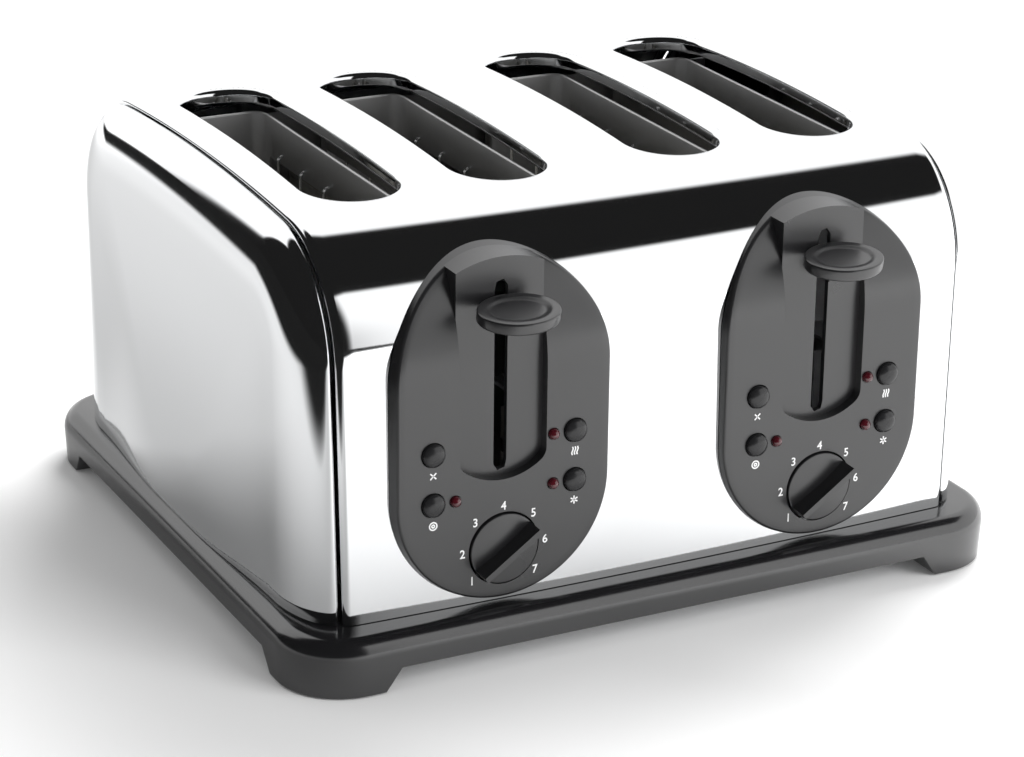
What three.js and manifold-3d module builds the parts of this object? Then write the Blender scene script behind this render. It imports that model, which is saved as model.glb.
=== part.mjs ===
// A four-slot toaster: a polished wrap and two domed side covers on a black moulded base,
// with two oval control panels on the front, one for each pair of slots.
// Millimetres, +Z up. X runs across the slots and the front faces -Y.
// The origin is on the surface that the feet stand on, below the middle of the whole toaster.
import * as THREE from 'three';
import { mergeVertices } from 'three/addons/utils/BufferGeometryUtils.js';
import Module from 'manifold-3d';

const wasm = await Module();
wasm.setup();
const degrees = Math.PI / 180;

// Clearances and shared counts
const gap = 0.3;
const runningGap = 0.4;
const overrun = 30;
const arcSteps = 8;
const roundSteps = 24;

// Bread slots and wells: the slots' length, width and pitches drive the toaster's depth and width
const slotPitch = 64;
const pairPitch = 143.1;
const slotWidth = 42.1;
const slotLength = 164.7;
const slotMidY = -1.6;
const lipDepth = 6.5;
const wellSideInset = 2.55;
const wellEndInset = 10.85;
const wellDrop = 11.2;
const wellFootRise = 2.8;
const wellCorner = 5;
const wellWall = 1;
const beadProud = 0.6;
const beadHeight = 2;
const windowDrop = 18;
const windowRise = 13;
const windowMargin = 9;
const guardCount = 5;
const guardMargin = 14.5;
const guardWire = 1.4;
const guardInset = 3.2;
const guardReach = 4;

// Body section in the YZ plane: a crown arc, a shoulder arc, then a drafted wall
const bodyTopZ = 181.2;
const bodySideMargin = 14.6;
const crownRadius = 1100;
const shoulderRadius = 50;
const wallAngle = 89.2 * degrees;
const wallBow = 2.5;
const wrapLean = 2.2;
const wrapRoll = 3;
const sheet = 1;
const seamGap = 0.4;

// Side covers
const coverDepth = 12.6;
const coverRim = 26;
const coverBow = 4;

// Base
const footHeight = 10.2;
const baseTopZ = 24.2;
const baseShelfX = 4.8;
const baseShelfY = 16.6;
const baseCornerRadius = 28;
const baseRollInset = 6.5;
const baseRollHeight = 8;
const baseDraft = 0.8;
const baseWall = 3;
const baseLedge = 20;
const footLengthX = 34.5;
const footLengthY = 34.5;
const footChamfer = 7.1;
const padRadius = 7;
const padProud = 0.8;
const padDepth = 1.5;
const padInset = 17;
const plateThickness = 1;

// Heater cards
const cardThickness = 1.2;
const cardDrop = 2;
const cardRise = 9;
const cardOffset = 4.6;
const cardToothHeight = 11;
const cardToothDepth = 1.5;
const cardTeeth = 5;

// Chassis plates
const chassisThickness = 1.2;
const chassisInset = 4.8;
const chassisDrop = 2;
const chassisSink = 1.2;
const chassisLeg = 5;
const chassisMiddleLeg = 10;

// Control panels
const panelHalfWidth = 45.5;
const panelFootGap = 2.3;
const panelTopDrop = 61.2;
const panelStandoff = 13.3;
const panelProud = 6.8;
const panelBendLift = 26.5;
const panelBendMargin = 27.5;
const panelWall = 2.4;
const panelWindowInset = 6.5;
const channelMidX = -0.6;
const channelMargin = 2.4;
const channelDepth = 4.3;
const channelFootMargin = 2.2;
const channelFootFlare = 8.4;
const leverSlotWidth = 5.6;
const leverSlotTopMargin = 8.9;
const leverSlotLift = 7.7;
const leverSlotFootMargin = 4.1;
const postRadius = 2.2;
const postUpperInset = 9.9;
const postUpperRise = 10.3;
const postLowerX = 17;
const postLowerDrop = 6.8;

// Lift carriages
const liftRise = 9;
const liftWidth = 14;
const liftRib = 24;
const liftRibCount = 5;
const liftRibMargin = 7.5;
const liftRibWidth = 3;
const liftThickness = 1.2;
const liftInset = 4;
const liftTab = 5;
const rodRadius = 2.5;
const rodSetback = 9;
const rodRise = 18.4;
const crossbarSetback = 19.4;
const crossbarThickness = 2.6;
const crossbarDrop = 4;
const crossbarHeight = 12;
const spineHalfWidth = 6;
const eyeRadius = 6;
const eyeHeight = 8;
const stemHalfWidth = 2.3;
const stemHeight = 5.6;
const stemDrop = 18;
const stemInset = 5;
const armatureWidth = 12;
const armatureThickness = 1.5;
const springRadius = 4.7;
const springWire = 0.55;
const springTurns = 7;
const springSteps = 8;
const springSides = 4;

// Lever paddles
const paddleHalfWidth = 16.5;
const paddleHalfDepth = 13.5;
const paddleThickness = 5;
const paddleReach = 10.2;
const paddleRise = 8.4;
const paddleTilt = 7 * degrees;
const paddleEdge = 1.4;
const paddleLip = 0.7;
const paddleRim = 2.8;
const paddleSlope = 7;
const paddleDish = 0.7;
const paddleNeck = 3.5;

// Knobs, buttons and lamp lenses
const knobHeight = 20.9;
const knobRadius = 14.5;
const knobHoleRadius = 15.2;
const knobRise = 0.9;
const knobCrown = 1.2;
const knobDepth = 3.2;
const ridgeHeight = 9.2;
const ridgeHalfWidth = 1.5;
const ridgeTrim = 0.1;
const ridgeFlankShares = [[1, 1], [1.15, 0.6], [1.6, 0.36], [2.8, 0.2], [2.8, 0]];
const pointerAngle = 35 * degrees;
const knobShaftRadius = 3;
const buttonInset = 15.1;
const buttonLift = 23.4;
const buttonPitch = 20.7;
const buttonRadius = 4.7;
const buttonHoleRadius = 5.1;
const buttonRise = 1;
const buttonCrown = 2;
const buttonRimShare = 0.32;
const buttonTravel = 1.5;
const buttonDepth = 5.5;
const buttonFlange = 1.2;
const lampGap = 9.4;
const lampRadius = 2.2;
const lampRise = 0.4;

// Control boards
const boardSetback = 20;
const boardThickness = 1.6;
const boardInset = 5.5;
const boardTopMargin = 7.5;
const boardFootMargin = 14.4;
const boardNotchHalfWidth = 8;
const boardNotchMargin = 6.5;
const potRadius = 8;
const potDepth = 5.5;
const switchHalf = 3;
const switchDepth = 4;
const plungerRadius = 1.5;

// Electromagnets
const magnetX = 22;
const magnetHalfWidth = 10;
const magnetDepth = 18;
const magnetCore = 3;
const coilRadius = 8;
const coilHeight = 14;

// Crumb trays
const trayHalfWidth = 55;
const trayReach = 9.9;
const trayWall = 0.9;
const trayHeight = 7;
const trayDoorMargin = 3;

// Cord gland in the back wall
const glandRise = 17.8;
const glandHoleRadius = 5.5;
const glandFlangeRadius = 8.5;
const glandFlange = 2;
const glandBore = 3.8;

// Materials
const finish = (color, roughness, metalness) => new THREE.MeshStandardMaterial({ color, roughness, metalness });
const chrome = finish(0xd9dbdd, 0.06, 1);
const blackPlastic = finish(0x2c2c2d, 0.45, 0);
const glossBlack = finish(0x1c1c1d, 0.25, 0);
const lampRed = finish(0x4a0d12, 0.15, 0);
const steel = finish(0x9a9c9e, 0.35, 1);
const springSteel = finish(0x8b8d90, 0.3, 1);
const mica = finish(0xb9ad96, 0.7, 0);
const boardGreen = finish(0x2f5d3a, 0.6, 0);
const copper = finish(0x9c5a2c, 0.4, 1);
const rubber = finish(0x1a1a1a, 0.9, 0);

// Widths, worked out from the slots outwards
const pairX = pairPitch / 2;
const slotX = slotPitch / 2;
const wellHalfWidth = slotWidth / 2 - wellSideInset;
const bodyHalfWidth = pairX + slotX + slotWidth / 2 + bodySideMargin;
const baseHalfWidth = bodyHalfWidth + seamGap / 2 + coverDepth + coverBow + baseShelfX;
const chassisHalfWidth = bodyHalfWidth - chassisInset;
const trayDoorHalfWidth = trayHalfWidth + trayDoorMargin;
const buttonX = panelHalfWidth - buttonInset;
const lampX = buttonX - lampGap;
const channelHalfWidth = lampX - channelMargin;
const channelFootRadius = channelHalfWidth + channelFootFlare;
const postUpperX = panelHalfWidth - postUpperInset;
const boardHalfWidth = panelHalfWidth - boardInset;

// Depths, worked out from the wells to the front panels, the body and the base
const wellHalfLength = slotLength / 2 - wellEndInset;
const wellFrontY = slotMidY - wellHalfLength - wellWall;
const wellBackY = slotMidY + wellHalfLength + wellWall;
const chassisFrontY = wellFrontY - gap - chassisThickness;
const chassisBackY = wellBackY + gap;
const crossbarY = chassisFrontY - crossbarSetback;
const rodY = crossbarY - rodSetback;
const boardY = rodY - boardSetback;
const panelFaceY = boardY - panelStandoff;
const channelY = panelFaceY + channelDepth;
const paddleMidY = panelFaceY - paddleReach;
const stemReachY = paddleMidY + stemInset;
const hipHalfDepth = -panelFaceY - panelProud;
const baseHalfDepth = hipHalfDepth + baseShelfY;
const trayFrontY = wellFrontY - trayReach;

// Heights, worked out from the foot and the top of the body
const plateFootZ = footHeight + gap;
const deckZ = plateFootZ + plateThickness + gap;
const trayTopZ = deckZ + trayHeight;
const bodyFootZ = baseTopZ + gap;
const chassisFootZ = baseTopZ - chassisSink;
const wellFootZ = baseTopZ + wellFootRise;
const wellTopZ = bodyTopZ - wellDrop;
const windowFootZ = wellFootZ + windowRise;
const windowTopZ = wellTopZ - windowDrop;
const cardFootZ = wellFootZ + cardRise;
const cardTopZ = windowTopZ - cardDrop;
const chassisTopZ = wellTopZ - chassisDrop;
const glandZ = baseTopZ + glandRise;
const panelLowZ = baseTopZ + panelFootGap + panelHalfWidth;
const panelHighZ = bodyTopZ - panelTopDrop;
const knobZ = baseTopZ + panelFootGap + knobHeight;
const buttonLowerZ = knobZ + buttonLift;
const buttonUpperZ = buttonLowerZ + buttonPitch;
const panelBendZ = buttonUpperZ + panelBendLift;
const panelBendRadius = panelHighZ + panelHalfWidth - panelBendZ + panelBendMargin;
const leverSlotHighZ = panelHighZ + panelHalfWidth - leverSlotTopMargin;
const leverSlotLowZ = buttonLowerZ + leverSlotLift;
const channelFootZ = leverSlotLowZ - channelFootMargin;
const stemFootZ = leverSlotHighZ - stemDrop;
const leverTravel = stemFootZ - leverSlotLowZ - leverSlotFootMargin;
const paddleZ = stemFootZ + paddleRise;
const liftZ = wellFootZ + liftRise + leverTravel;
const rodTopZ = stemFootZ + rodRise;
const crossbarFootZ = liftZ - crossbarDrop;
const crossbarTopZ = crossbarFootZ + crossbarHeight;
const magnetTopZ = crossbarTopZ - armatureThickness - leverTravel - gap;
const boardTopZ = buttonUpperZ + boardTopMargin;
const boardFootZ = knobZ - boardFootMargin;
const boardNotchZ = leverSlotLowZ - boardNotchMargin;

// Pitches that spread a pattern along a well
const guardPitch = (2 * (wellHalfLength - windowMargin - guardMargin)) / (guardCount - 1);
const liftRibPitch = (2 * (wellHalfLength - liftInset - liftRibMargin)) / (liftRibCount - 1);

// Solids: closed meshes become manifolds, and joins and cuts work on those
function solidOf(geometry) {
  const bare = geometry.clone();
  bare.deleteAttribute('normal');
  bare.deleteAttribute('uv');
  const merged = mergeVertices(bare);
  const index = merged.index.array;
  const triangles = [];
  for (let i = 0; i < index.length; i += 3) {
    const [a, b, c] = [index[i], index[i + 1], index[i + 2]];
    if (a !== b && b !== c && c !== a) triangles.push(a, b, c);
  }
  const points = Float32Array.from(merged.attributes.position.array);
  if (signedVolume(points, triangles) < 0) triangles.reverse();
  const mesh = new wasm.Mesh({ numProp: 3, vertProperties: points, triVerts: Uint32Array.from(triangles) });
  return new wasm.Manifold(mesh);
}

function signedVolume(points, triangles) {
  let total = 0;
  const corner = (i) => new THREE.Vector3(points[3 * i], points[3 * i + 1], points[3 * i + 2]);
  for (let i = 0; i < triangles.length; i += 3) {
    const [a, b, c] = [corner(triangles[i]), corner(triangles[i + 1]), corner(triangles[i + 2])];
    total += a.dot(b.cross(c));
  }
  return total;
}

const join = (first, ...others) => others.reduce((whole, other) => whole.add(other), first);
const cut = (first, ...others) => others.reduce((whole, other) => whole.subtract(other), first);
const common = (first, ...others) => others.reduce((whole, other) => whole.intersect(other), first);

function geometryOf(solid) {
  const mesh = solid.getMesh();
  const geometry = new THREE.BufferGeometry();
  const positions = new Float32Array(mesh.numVert * 3);
  for (let i = 0; i < mesh.numVert; i++) {
    for (let k = 0; k < 3; k++) positions[3 * i + k] = mesh.vertProperties[i * mesh.numProp + k];
  }
  geometry.setAttribute('position', new THREE.BufferAttribute(positions, 3));
  geometry.setIndex(new THREE.BufferAttribute(Uint32Array.from(mesh.triVerts), 1));
  geometry.computeVertexNormals();
  return geometry;
}

// A prism of a shape along one axis, from low to high. The shape is drawn in (Y, Z) for an X prism,
// in (X, Z) for a Y prism and in (X, Y) for a Z prism.
function prism(axis, shape, low, high, steps = arcSteps) {
  const geometry = new THREE.ExtrudeGeometry(shape, { depth: high - low, bevelEnabled: false, curveSegments: steps });
  const turn = new THREE.Matrix4();
  const [x, y, z] = [new THREE.Vector3(1, 0, 0), new THREE.Vector3(0, 1, 0), new THREE.Vector3(0, 0, 1)];
  if (axis === 'x') {
    geometry.translate(0, 0, low);
    turn.makeBasis(y, z, x);
  }
  if (axis === 'y') {
    geometry.translate(0, 0, -high);
    turn.makeBasis(x, z, y.clone().negate());
  }
  if (axis === 'z') geometry.translate(0, 0, low);
  return solidOf(geometry.applyMatrix4(turn));
}

function outline(...corners) {
  const shape = new THREE.Shape();
  corners.forEach(([u, v], i) => (i ? shape.lineTo(u, v) : shape.moveTo(u, v)));
  return shape;
}

const rectangle = (lowU, highU, lowV, highV) =>
  outline([lowU, lowV], [highU, lowV], [highU, highV], [lowU, highV]);

const box = (x0, x1, y0, y1, z0, z1) => prism('z', rectangle(x0, x1, y0, y1), z0, z1);

// A shape with straight sides and two half-round ends, centred on u
function stadium(u, halfWidth, lowCentre, highCentre) {
  const shape = new THREE.Shape();
  shape.absarc(u, highCentre, halfWidth, 0, Math.PI, false);
  shape.absarc(u, lowCentre, halfWidth, Math.PI, 2 * Math.PI, false);
  return shape;
}

function circle(u, v, radius) {
  const shape = new THREE.Shape();
  shape.absarc(u, v, radius, 0, 2 * Math.PI, false);
  return shape;
}

const rod = (axis, u, v, radius, low, high, steps = arcSteps) =>
  prism(axis, circle(u, v, radius), low, high, steps);

function roundedRectangle(u, v, halfU, halfV, radius) {
  const shape = new THREE.Shape();
  const quarter = Math.PI / 2;
  const corners = [[1, 1, 0], [-1, 1, 1], [-1, -1, 2], [1, -1, 3]];
  for (const [su, sv, turn] of corners) {
    const centreU = u + su * (halfU - radius);
    const centreV = v + sv * (halfV - radius);
    shape.absarc(centreU, centreV, radius, turn * quarter, (turn + 1) * quarter, false);
  }
  return shape;
}

// Closed body from a stack of convex rings with the same count of points
function stack(rings) {
  const positions = [];
  const triangle = (...points) => points.forEach((p) => positions.push(p.x, p.y, p.z));
  const count = rings[0].length;
  for (let i = 0; i + 1 < rings.length; i++) {
    for (let j = 0; j < count; j++) {
      const [a, b] = [rings[i][j], rings[i][(j + 1) % count]];
      const [c, d] = [rings[i + 1][(j + 1) % count], rings[i + 1][j]];
      triangle(a, b, c);
      triangle(a, c, d);
    }
  }
  const [first, last] = [rings[0], rings[rings.length - 1]];
  for (let j = 1; j + 1 < count; j++) {
    triangle(first[0], first[j + 1], first[j]);
    triangle(last[0], last[j], last[j + 1]);
  }
  return solidOf(geometryFrom(positions));
}

// Closed body between two grids of points, joined along their borders
function sheetBetween(outer, inner) {
  const positions = [];
  const quad = (a, b, c, d) => {
    for (const p of [a, b, c, a, c, d]) positions.push(p.x, p.y, p.z);
  };
  const [rows, columns] = [outer.length, outer[0].length];
  for (let i = 0; i + 1 < rows; i++) {
    for (let j = 0; j + 1 < columns; j++) {
      quad(outer[i][j], outer[i + 1][j], outer[i + 1][j + 1], outer[i][j + 1]);
      quad(inner[i][j], inner[i][j + 1], inner[i + 1][j + 1], inner[i + 1][j]);
    }
  }
  for (let i = 0; i + 1 < rows; i++) {
    quad(outer[i][0], inner[i][0], inner[i + 1][0], outer[i + 1][0]);
    quad(outer[i][columns - 1], outer[i + 1][columns - 1], inner[i + 1][columns - 1], inner[i][columns - 1]);
  }
  for (let j = 0; j + 1 < columns; j++) {
    quad(outer[0][j], outer[0][j + 1], inner[0][j + 1], inner[0][j]);
    quad(outer[rows - 1][j], inner[rows - 1][j], inner[rows - 1][j + 1], outer[rows - 1][j + 1]);
  }
  return solidOf(geometryFrom(positions));
}

function geometryFrom(positions) {
  const geometry = new THREE.BufferGeometry();
  geometry.setAttribute('position', new THREE.BufferAttribute(Float32Array.from(positions), 3));
  return geometry;
}

function lathe(profile, steps = roundSteps) {
  return new THREE.LatheGeometry(profile.map(([r, h]) => new THREE.Vector2(r, h)), steps);
}

// Turned piece whose axis runs along -Y, from a profile of [radius, height towards the front]
function turnedForward(profile, x, y, z, steps = roundSteps) {
  return solidOf(lathe(profile, steps).rotateX(Math.PI).translate(x, y, z));
}

// Body section: points from the front foot over the top to the back foot, each with its outward normal
function bodySection() {
  const arcEnds = hipHalfDepth - shoulderRadius * Math.sin(wallAngle);
  const crownAngle = Math.asin(arcEnds / (crownRadius - shoulderRadius));
  const arcs = [
    { radius: crownRadius, from: 0, to: crownAngle, steps: 3 },
    { radius: shoulderRadius, from: crownAngle, to: wallAngle, steps: 10 },
  ];
  const half = [{ y: 0, z: bodyTopZ, angle: 0 }];
  for (const { radius, from, to, steps } of arcs) {
    const start = half[half.length - 1];
    for (let i = 1; i <= steps; i++) {
      const angle = from + ((to - from) * i) / steps;
      const y = start.y + radius * (Math.sin(angle) - Math.sin(from));
      const z = start.z - radius * (Math.cos(from) - Math.cos(angle));
      half.push({ y, z, angle });
    }
  }
  const hip = half[half.length - 1];
  const footY = hip.y + (hip.z - bodyFootZ) / Math.tan(wallAngle);
  half.push({ y: footY, z: bodyFootZ, angle: wallAngle, foot: true });
  const front = half.slice(1).reverse().map((point) => ({ ...point, y: -point.y, angle: -point.angle }));
  return [...front, ...half].map((point) => ({ ...point, ny: Math.sin(point.angle), nz: Math.cos(point.angle) }));
}

const section = bodySection();
const bowShare = (x) => 1 - (x / bodyHalfWidth) ** 2;
const bowed = (x, y) => y * (1 + (wallBow / hipHalfDepth) * bowShare(x));

// How far each end of the wrap leans in towards the middle at a height
const leanAt = (z) => (wrapLean * (bodyTopZ - z)) / (bodyTopZ - bodyFootZ);

// A point of the wrap, moved outwards by offset, with the foot kept level
function wrapPoint({ y, z, ny, nz, foot }, x, offset) {
  const height = foot ? z : z + nz * offset;
  const place = x * (1 - leanAt(z) / bodyHalfWidth);
  return new THREE.Vector3(place, bowed(x, y + ny * offset), height);
}

function stations(halfWidth, steps) {
  const list = [];
  for (let i = 0; i <= steps; i++) list.push(-halfWidth + (2 * halfWidth * i) / steps);
  return list;
}

// Everything inside the wrap's outer surface, grown by offset, running below the foot
function bodyVolume(offset) {
  const wide = stations(bodyHalfWidth - seamGap / 2, 6);
  return stack(wide.map((x) => {
    const ring = section.map((point) => wrapPoint(point, x, offset));
    const [front, back] = [ring[0], ring[ring.length - 1]];
    return [new THREE.Vector3(x, front.y, -overrun), ...ring, new THREE.Vector3(x, back.y, -overrun)];
  }));
}

// Places across one face of the wrap's sheet, from end to end, where each end rolls down to its side cover
function wrapColumns(depth) {
  const rollSteps = 4;
  const end = bodyHalfWidth - seamGap / 2;
  const roll = [];
  for (let i = 1; i <= rollSteps; i++) {
    const turn = (i / rollSteps) * (Math.PI / 2);
    const radius = wrapRoll - depth;
    roll.push({ x: end - wrapRoll + radius * Math.sin(turn), drop: wrapRoll - radius * Math.cos(turn) });
  }
  roll.push({ x: end - depth, drop: wrapRoll + sheet });
  const middle = stations(end - wrapRoll, 6).map((x) => ({ x, drop: depth }));
  return [...roll.map(({ x, drop }) => ({ x: -x, drop })).reverse(), ...middle, ...roll];
}

const slotShape = (x, grow) => {
  const end = slotLength / 2 - slotWidth / 2;
  return stadium(x, slotWidth / 2 + grow, slotMidY - end, slotMidY + end);
};

const panelShape = (x, inset) => stadium(x, panelHalfWidth - inset, panelLowZ, panelHighZ);

function wrapCover() {
  const grid = (depth) => section.map((point) => (
    wrapColumns(depth).map(({ x, drop }) => wrapPoint(point, x, -drop))));
  let cover = sheetBetween(grid(0), grid(sheet));
  const inside = bodyVolume(0);
  const lipFootZ = bodyTopZ - lipDepth;
  const skyZ = bodyTopZ + overrun;
  const centres = [-1, 1].flatMap((side) => [side * pairX - slotX, side * pairX + slotX]);
  for (const x of centres) {
    const lip = common(prism('z', slotShape(x, sheet), lipFootZ, skyZ, 7), inside);
    cover = cut(join(cover, lip), prism('z', slotShape(x, 0), lipFootZ - overrun, skyZ, 7));
  }
  for (const side of [-1, 1]) {
    const window = panelShape(side * pairX, panelWindowInset);
    cover = cut(cover, prism('y', window, -baseHalfDepth - overrun, -baseHalfDepth + 2 * overrun));
  }
  return cut(cover, rod('y', 0, glandZ, glandHoleRadius + gap, 0, baseHalfDepth + overrun));
}

// Domed side cover: it meets the wrap's rolled end and is drawn in over an elliptical rim to a bowed face
function sideCover(side) {
  const rimSteps = 5;
  const faceShares = [0.3, 0.6, 1];
  const seamX = bodyHalfWidth + seamGap / 2;
  const grid = (thickness) => section.map(({ y, z, ny, nz, foot }) => {
    const row = [];
    const level = (height) => (foot ? z : height);
    for (let k = 0; k <= rimSteps; k++) {
      const turn = (k / rimSteps) * (Math.PI / 2);
      const inset = wrapRoll + thickness + (coverRim - thickness) * (1 - Math.cos(turn));
      const x = seamX - leanAt(z) * Math.cos(turn) + (coverDepth - thickness) * Math.sin(turn);
      row.push(new THREE.Vector3(side * x, y - ny * inset, level(z - nz * inset)));
    }
    const last = row[rimSteps];
    for (const share of faceShares) {
      const x = seamX + coverDepth - thickness + coverBow * (1 - Math.cos(share * Math.PI)) / 2;
      const height = last.z + (bodyFootZ - last.z) * share;
      row.push(new THREE.Vector3(side * x, last.y * (1 - share), height));
    }
    return row;
  });
  return sheetBetween(grid(0), grid(sheet));
}

// Base ring levels: drafted face, then a rolled top edge
function baseRing(inset, z) {
  const [halfX, halfY] = [baseHalfWidth - inset, baseHalfDepth - inset];
  const radius = baseCornerRadius - inset;
  const cornerSteps = 5;
  const ring = [];
  [[1, 1], [-1, 1], [-1, -1], [1, -1]].forEach(([sx, sy], quarter) => {
    for (let i = 0; i <= cornerSteps; i++) {
      const turn = (quarter + i / cornerSteps) * (Math.PI / 2);
      const x = sx * (halfX - radius) + radius * Math.cos(turn);
      const y = sy * (halfY - radius) + radius * Math.sin(turn);
      ring.push(new THREE.Vector3(x, y, z));
    }
  });
  return ring;
}

function baseVolume() {
  const rollSteps = 4;
  const rings = [baseRing(baseDraft, padProud)];
  for (let i = 0; i <= rollSteps; i++) {
    const turn = (i / rollSteps) * (Math.PI / 2);
    const inset = baseRollInset * (1 - Math.cos(turn));
    rings.push(baseRing(inset, baseTopZ - baseRollHeight * (1 - Math.sin(turn))));
  }
  return stack(rings);
}

const baseSolid = baseVolume();
const padPlaces = [-1, 1].flatMap((sx) => [-1, 1].map((sy) => [
  sx * (baseHalfWidth - padInset), sy * (baseHalfDepth - padInset)]));

function baseFrame() {
  const inner = (inset, low, high) => stack([baseRing(inset, low), baseRing(inset, high)]);
  const cavity = inner(baseWall + baseDraft, footHeight, baseTopZ - baseWall);
  const opening = inner(baseLedge, footHeight, baseTopZ + overrun);
  const arch = (halfLength) => outline(
    [-halfLength + footChamfer, footHeight], [-halfLength, 0], [-halfLength, -overrun],
    [halfLength, -overrun], [halfLength, 0], [halfLength - footChamfer, footHeight]);
  const archY = prism('x', arch(baseHalfDepth - footLengthY), -baseHalfWidth - overrun, baseHalfWidth + overrun);
  const archX = prism('y', arch(baseHalfWidth - footLengthX), -baseHalfDepth - overrun, baseHalfDepth + overrun);
  const pads = padPlaces.map(([x, y]) => rod('z', x, y, padRadius + gap, 0, padProud + padDepth + gap));
  const doors = [-1, 1].map((side) => trayDoorway(side * pairX, runningGap));
  return cut(baseSolid, cavity, opening, archX, archY, ...pads, ...doors);
}

// The doorway of a crumb tray in the back wall, grown by margin on every side
function trayDoorway(x, margin) {
  const back = baseHalfDepth + overrun;
  const front = baseHalfDepth - baseWall - baseDraft - gap;
  return box(x - trayDoorHalfWidth - margin, x + trayDoorHalfWidth + margin,
    front - margin, back, deckZ - gap - margin, trayTopZ + margin);
}

function bottomPlate() {
  const inset = baseWall + baseDraft + gap;
  const plate = stack([baseRing(inset, plateFootZ), baseRing(inset, plateFootZ + plateThickness)]);
  const keep = trayDoorway(pairX, runningGap);
  return cut(plate, keep, trayDoorway(-pairX, runningGap));
}

const rubberFoot = ([x, y]) => rod('z', x, y, padRadius, 0, padProud + padDepth);

// Crumb tray: a shallow pan whose door is a piece of the base's own outer surface
function crumbTray(side) {
  const x = side * pairX;
  const doorInner = baseHalfDepth - baseWall - baseDraft - gap;
  const pan = box(x - trayHalfWidth, x + trayHalfWidth, trayFrontY, doorInner + trayWall, deckZ, trayTopZ);
  const hollow = box(x - trayHalfWidth + trayWall, x + trayHalfWidth - trayWall,
    trayFrontY + trayWall, doorInner, deckZ + trayWall, trayTopZ + overrun);
  return join(cut(pan, hollow), common(trayDoorway(x, 0), baseSolid));
}

// Chassis plate: stands on the bottom plate on three legs and is pierced for the lifts
function chassisPlate(lowY, pierced) {
  const shape = outline(
    [-chassisHalfWidth, deckZ], [-chassisHalfWidth + chassisLeg, deckZ],
    [-chassisHalfWidth + chassisLeg, chassisFootZ], [-chassisMiddleLeg, chassisFootZ],
    [-chassisMiddleLeg, deckZ], [chassisMiddleLeg, deckZ],
    [chassisMiddleLeg, chassisFootZ], [chassisHalfWidth - chassisLeg, chassisFootZ],
    [chassisHalfWidth - chassisLeg, deckZ], [chassisHalfWidth, deckZ],
    [chassisHalfWidth, chassisTopZ], [-chassisHalfWidth, chassisTopZ]);
  let plate = prism('y', shape, lowY, lowY + chassisThickness);
  if (!pierced) return plate;
  for (const side of [-1, 1]) {
    plate = join(plate, rodBridge(side * pairX));
    for (const x of [side * pairX - slotX, side * pairX + slotX]) plate = cut(plate, liftSlit(x));
  }
  return plate;
}

// The vertical slit that a lift's tab runs in
const liftSlit = (x) => box(x - liftTab / 2 - runningGap, x + liftTab / 2 + runningGap,
  chassisFrontY - overrun / 2, slotMidY - wellHalfLength + wellWall,
  liftZ - leverTravel - runningGap, liftZ + liftThickness + runningGap);

// The bridge on the front chassis plate that holds the top of a guide rod
function rodBridge(x) {
  const low = rodTopZ - eyeRadius / 2;
  const tongue = box(x - eyeRadius, x + eyeRadius, rodY, chassisFrontY + chassisThickness, low, low + sheet);
  const ring = rod('z', x, rodY, eyeRadius, low, low + sheet);
  return cut(join(tongue, ring), rod('z', x, rodY, rodRadius + gap, low - overrun, low + overrun));
}

// Bread well: a rounded sheet tube with a beaded rim, side windows and guard wires in front of them
function breadWell(x) {
  const tube = (grow, low, high) => prism('z', roundedRectangle(x, slotMidY,
    wellHalfWidth + grow, wellHalfLength + grow, wellCorner + grow), low, high, 2);
  const shell = join(tube(wellWall, wellFootZ, wellTopZ), tube(wellWall + beadProud, wellTopZ - beadHeight, wellTopZ));
  const trimmed = common(shell, box(x - overrun, x + overrun, wellFrontY, wellBackY, wellFootZ, wellTopZ));
  let well = cut(trimmed, tube(0, wellFootZ - overrun, wellTopZ + overrun));
  const [windowFront, windowBack] = [slotMidY - wellHalfLength + windowMargin, slotMidY + wellHalfLength - windowMargin];
  well = cut(well, box(x - 2 * overrun, x + 2 * overrun, windowFront, windowBack, windowFootZ, windowTopZ));
  well = cut(well, liftSlit(x));
  for (const side of [-1, 1]) {
    for (let i = 0; i < guardCount; i++) {
      const y = slotMidY + (i - (guardCount - 1) / 2) * guardPitch;
      well = join(well, guard(x, side, y));
    }
  }
  return well;
}

// One guard wire: a bent wire welded above and below the window
function guard(x, side, y) {
  const wallX = x + side * (wellHalfWidth + wellWall / 2);
  const wireX = x + side * (wellHalfWidth - guardInset);
  const [low, high] = [windowFootZ - guardReach, windowTopZ + guardReach];
  const span = (a, b, z0, z1) => box(Math.min(a, b), Math.max(a, b), y - guardWire / 2, y + guardWire / 2, z0, z1);
  const inner = wireX - side * guardWire;
  return join(span(inner, wireX, low, high),
    span(inner, wallX, high - guardWire, high), span(inner, wallX, low, low + guardWire));
}

// Heater card: a mica sheet with toothed ends that carry the winding
function heaterCard(x) {
  const height = cardTopZ - cardFootZ;
  const pitch = height / cardTeeth;
  const [front, back] = [wellFrontY, wellBackY];
  const corners = [];
  for (let i = 0; i < cardTeeth; i++) {
    const z = cardFootZ + i * pitch + (pitch - cardToothHeight) / 2;
    corners.push([back - cardToothDepth, z], [back, z], [back, z + cardToothHeight],
      [back - cardToothDepth, z + cardToothHeight]);
  }
  for (let i = cardTeeth - 1; i >= 0; i--) {
    const z = cardFootZ + i * pitch + (pitch - cardToothHeight) / 2;
    corners.push([front + cardToothDepth, z + cardToothHeight], [front, z + cardToothHeight],
      [front, z], [front + cardToothDepth, z]);
  }
  return prism('x', outline(...corners), x - cardThickness / 2, x + cardThickness / 2);
}

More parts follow.
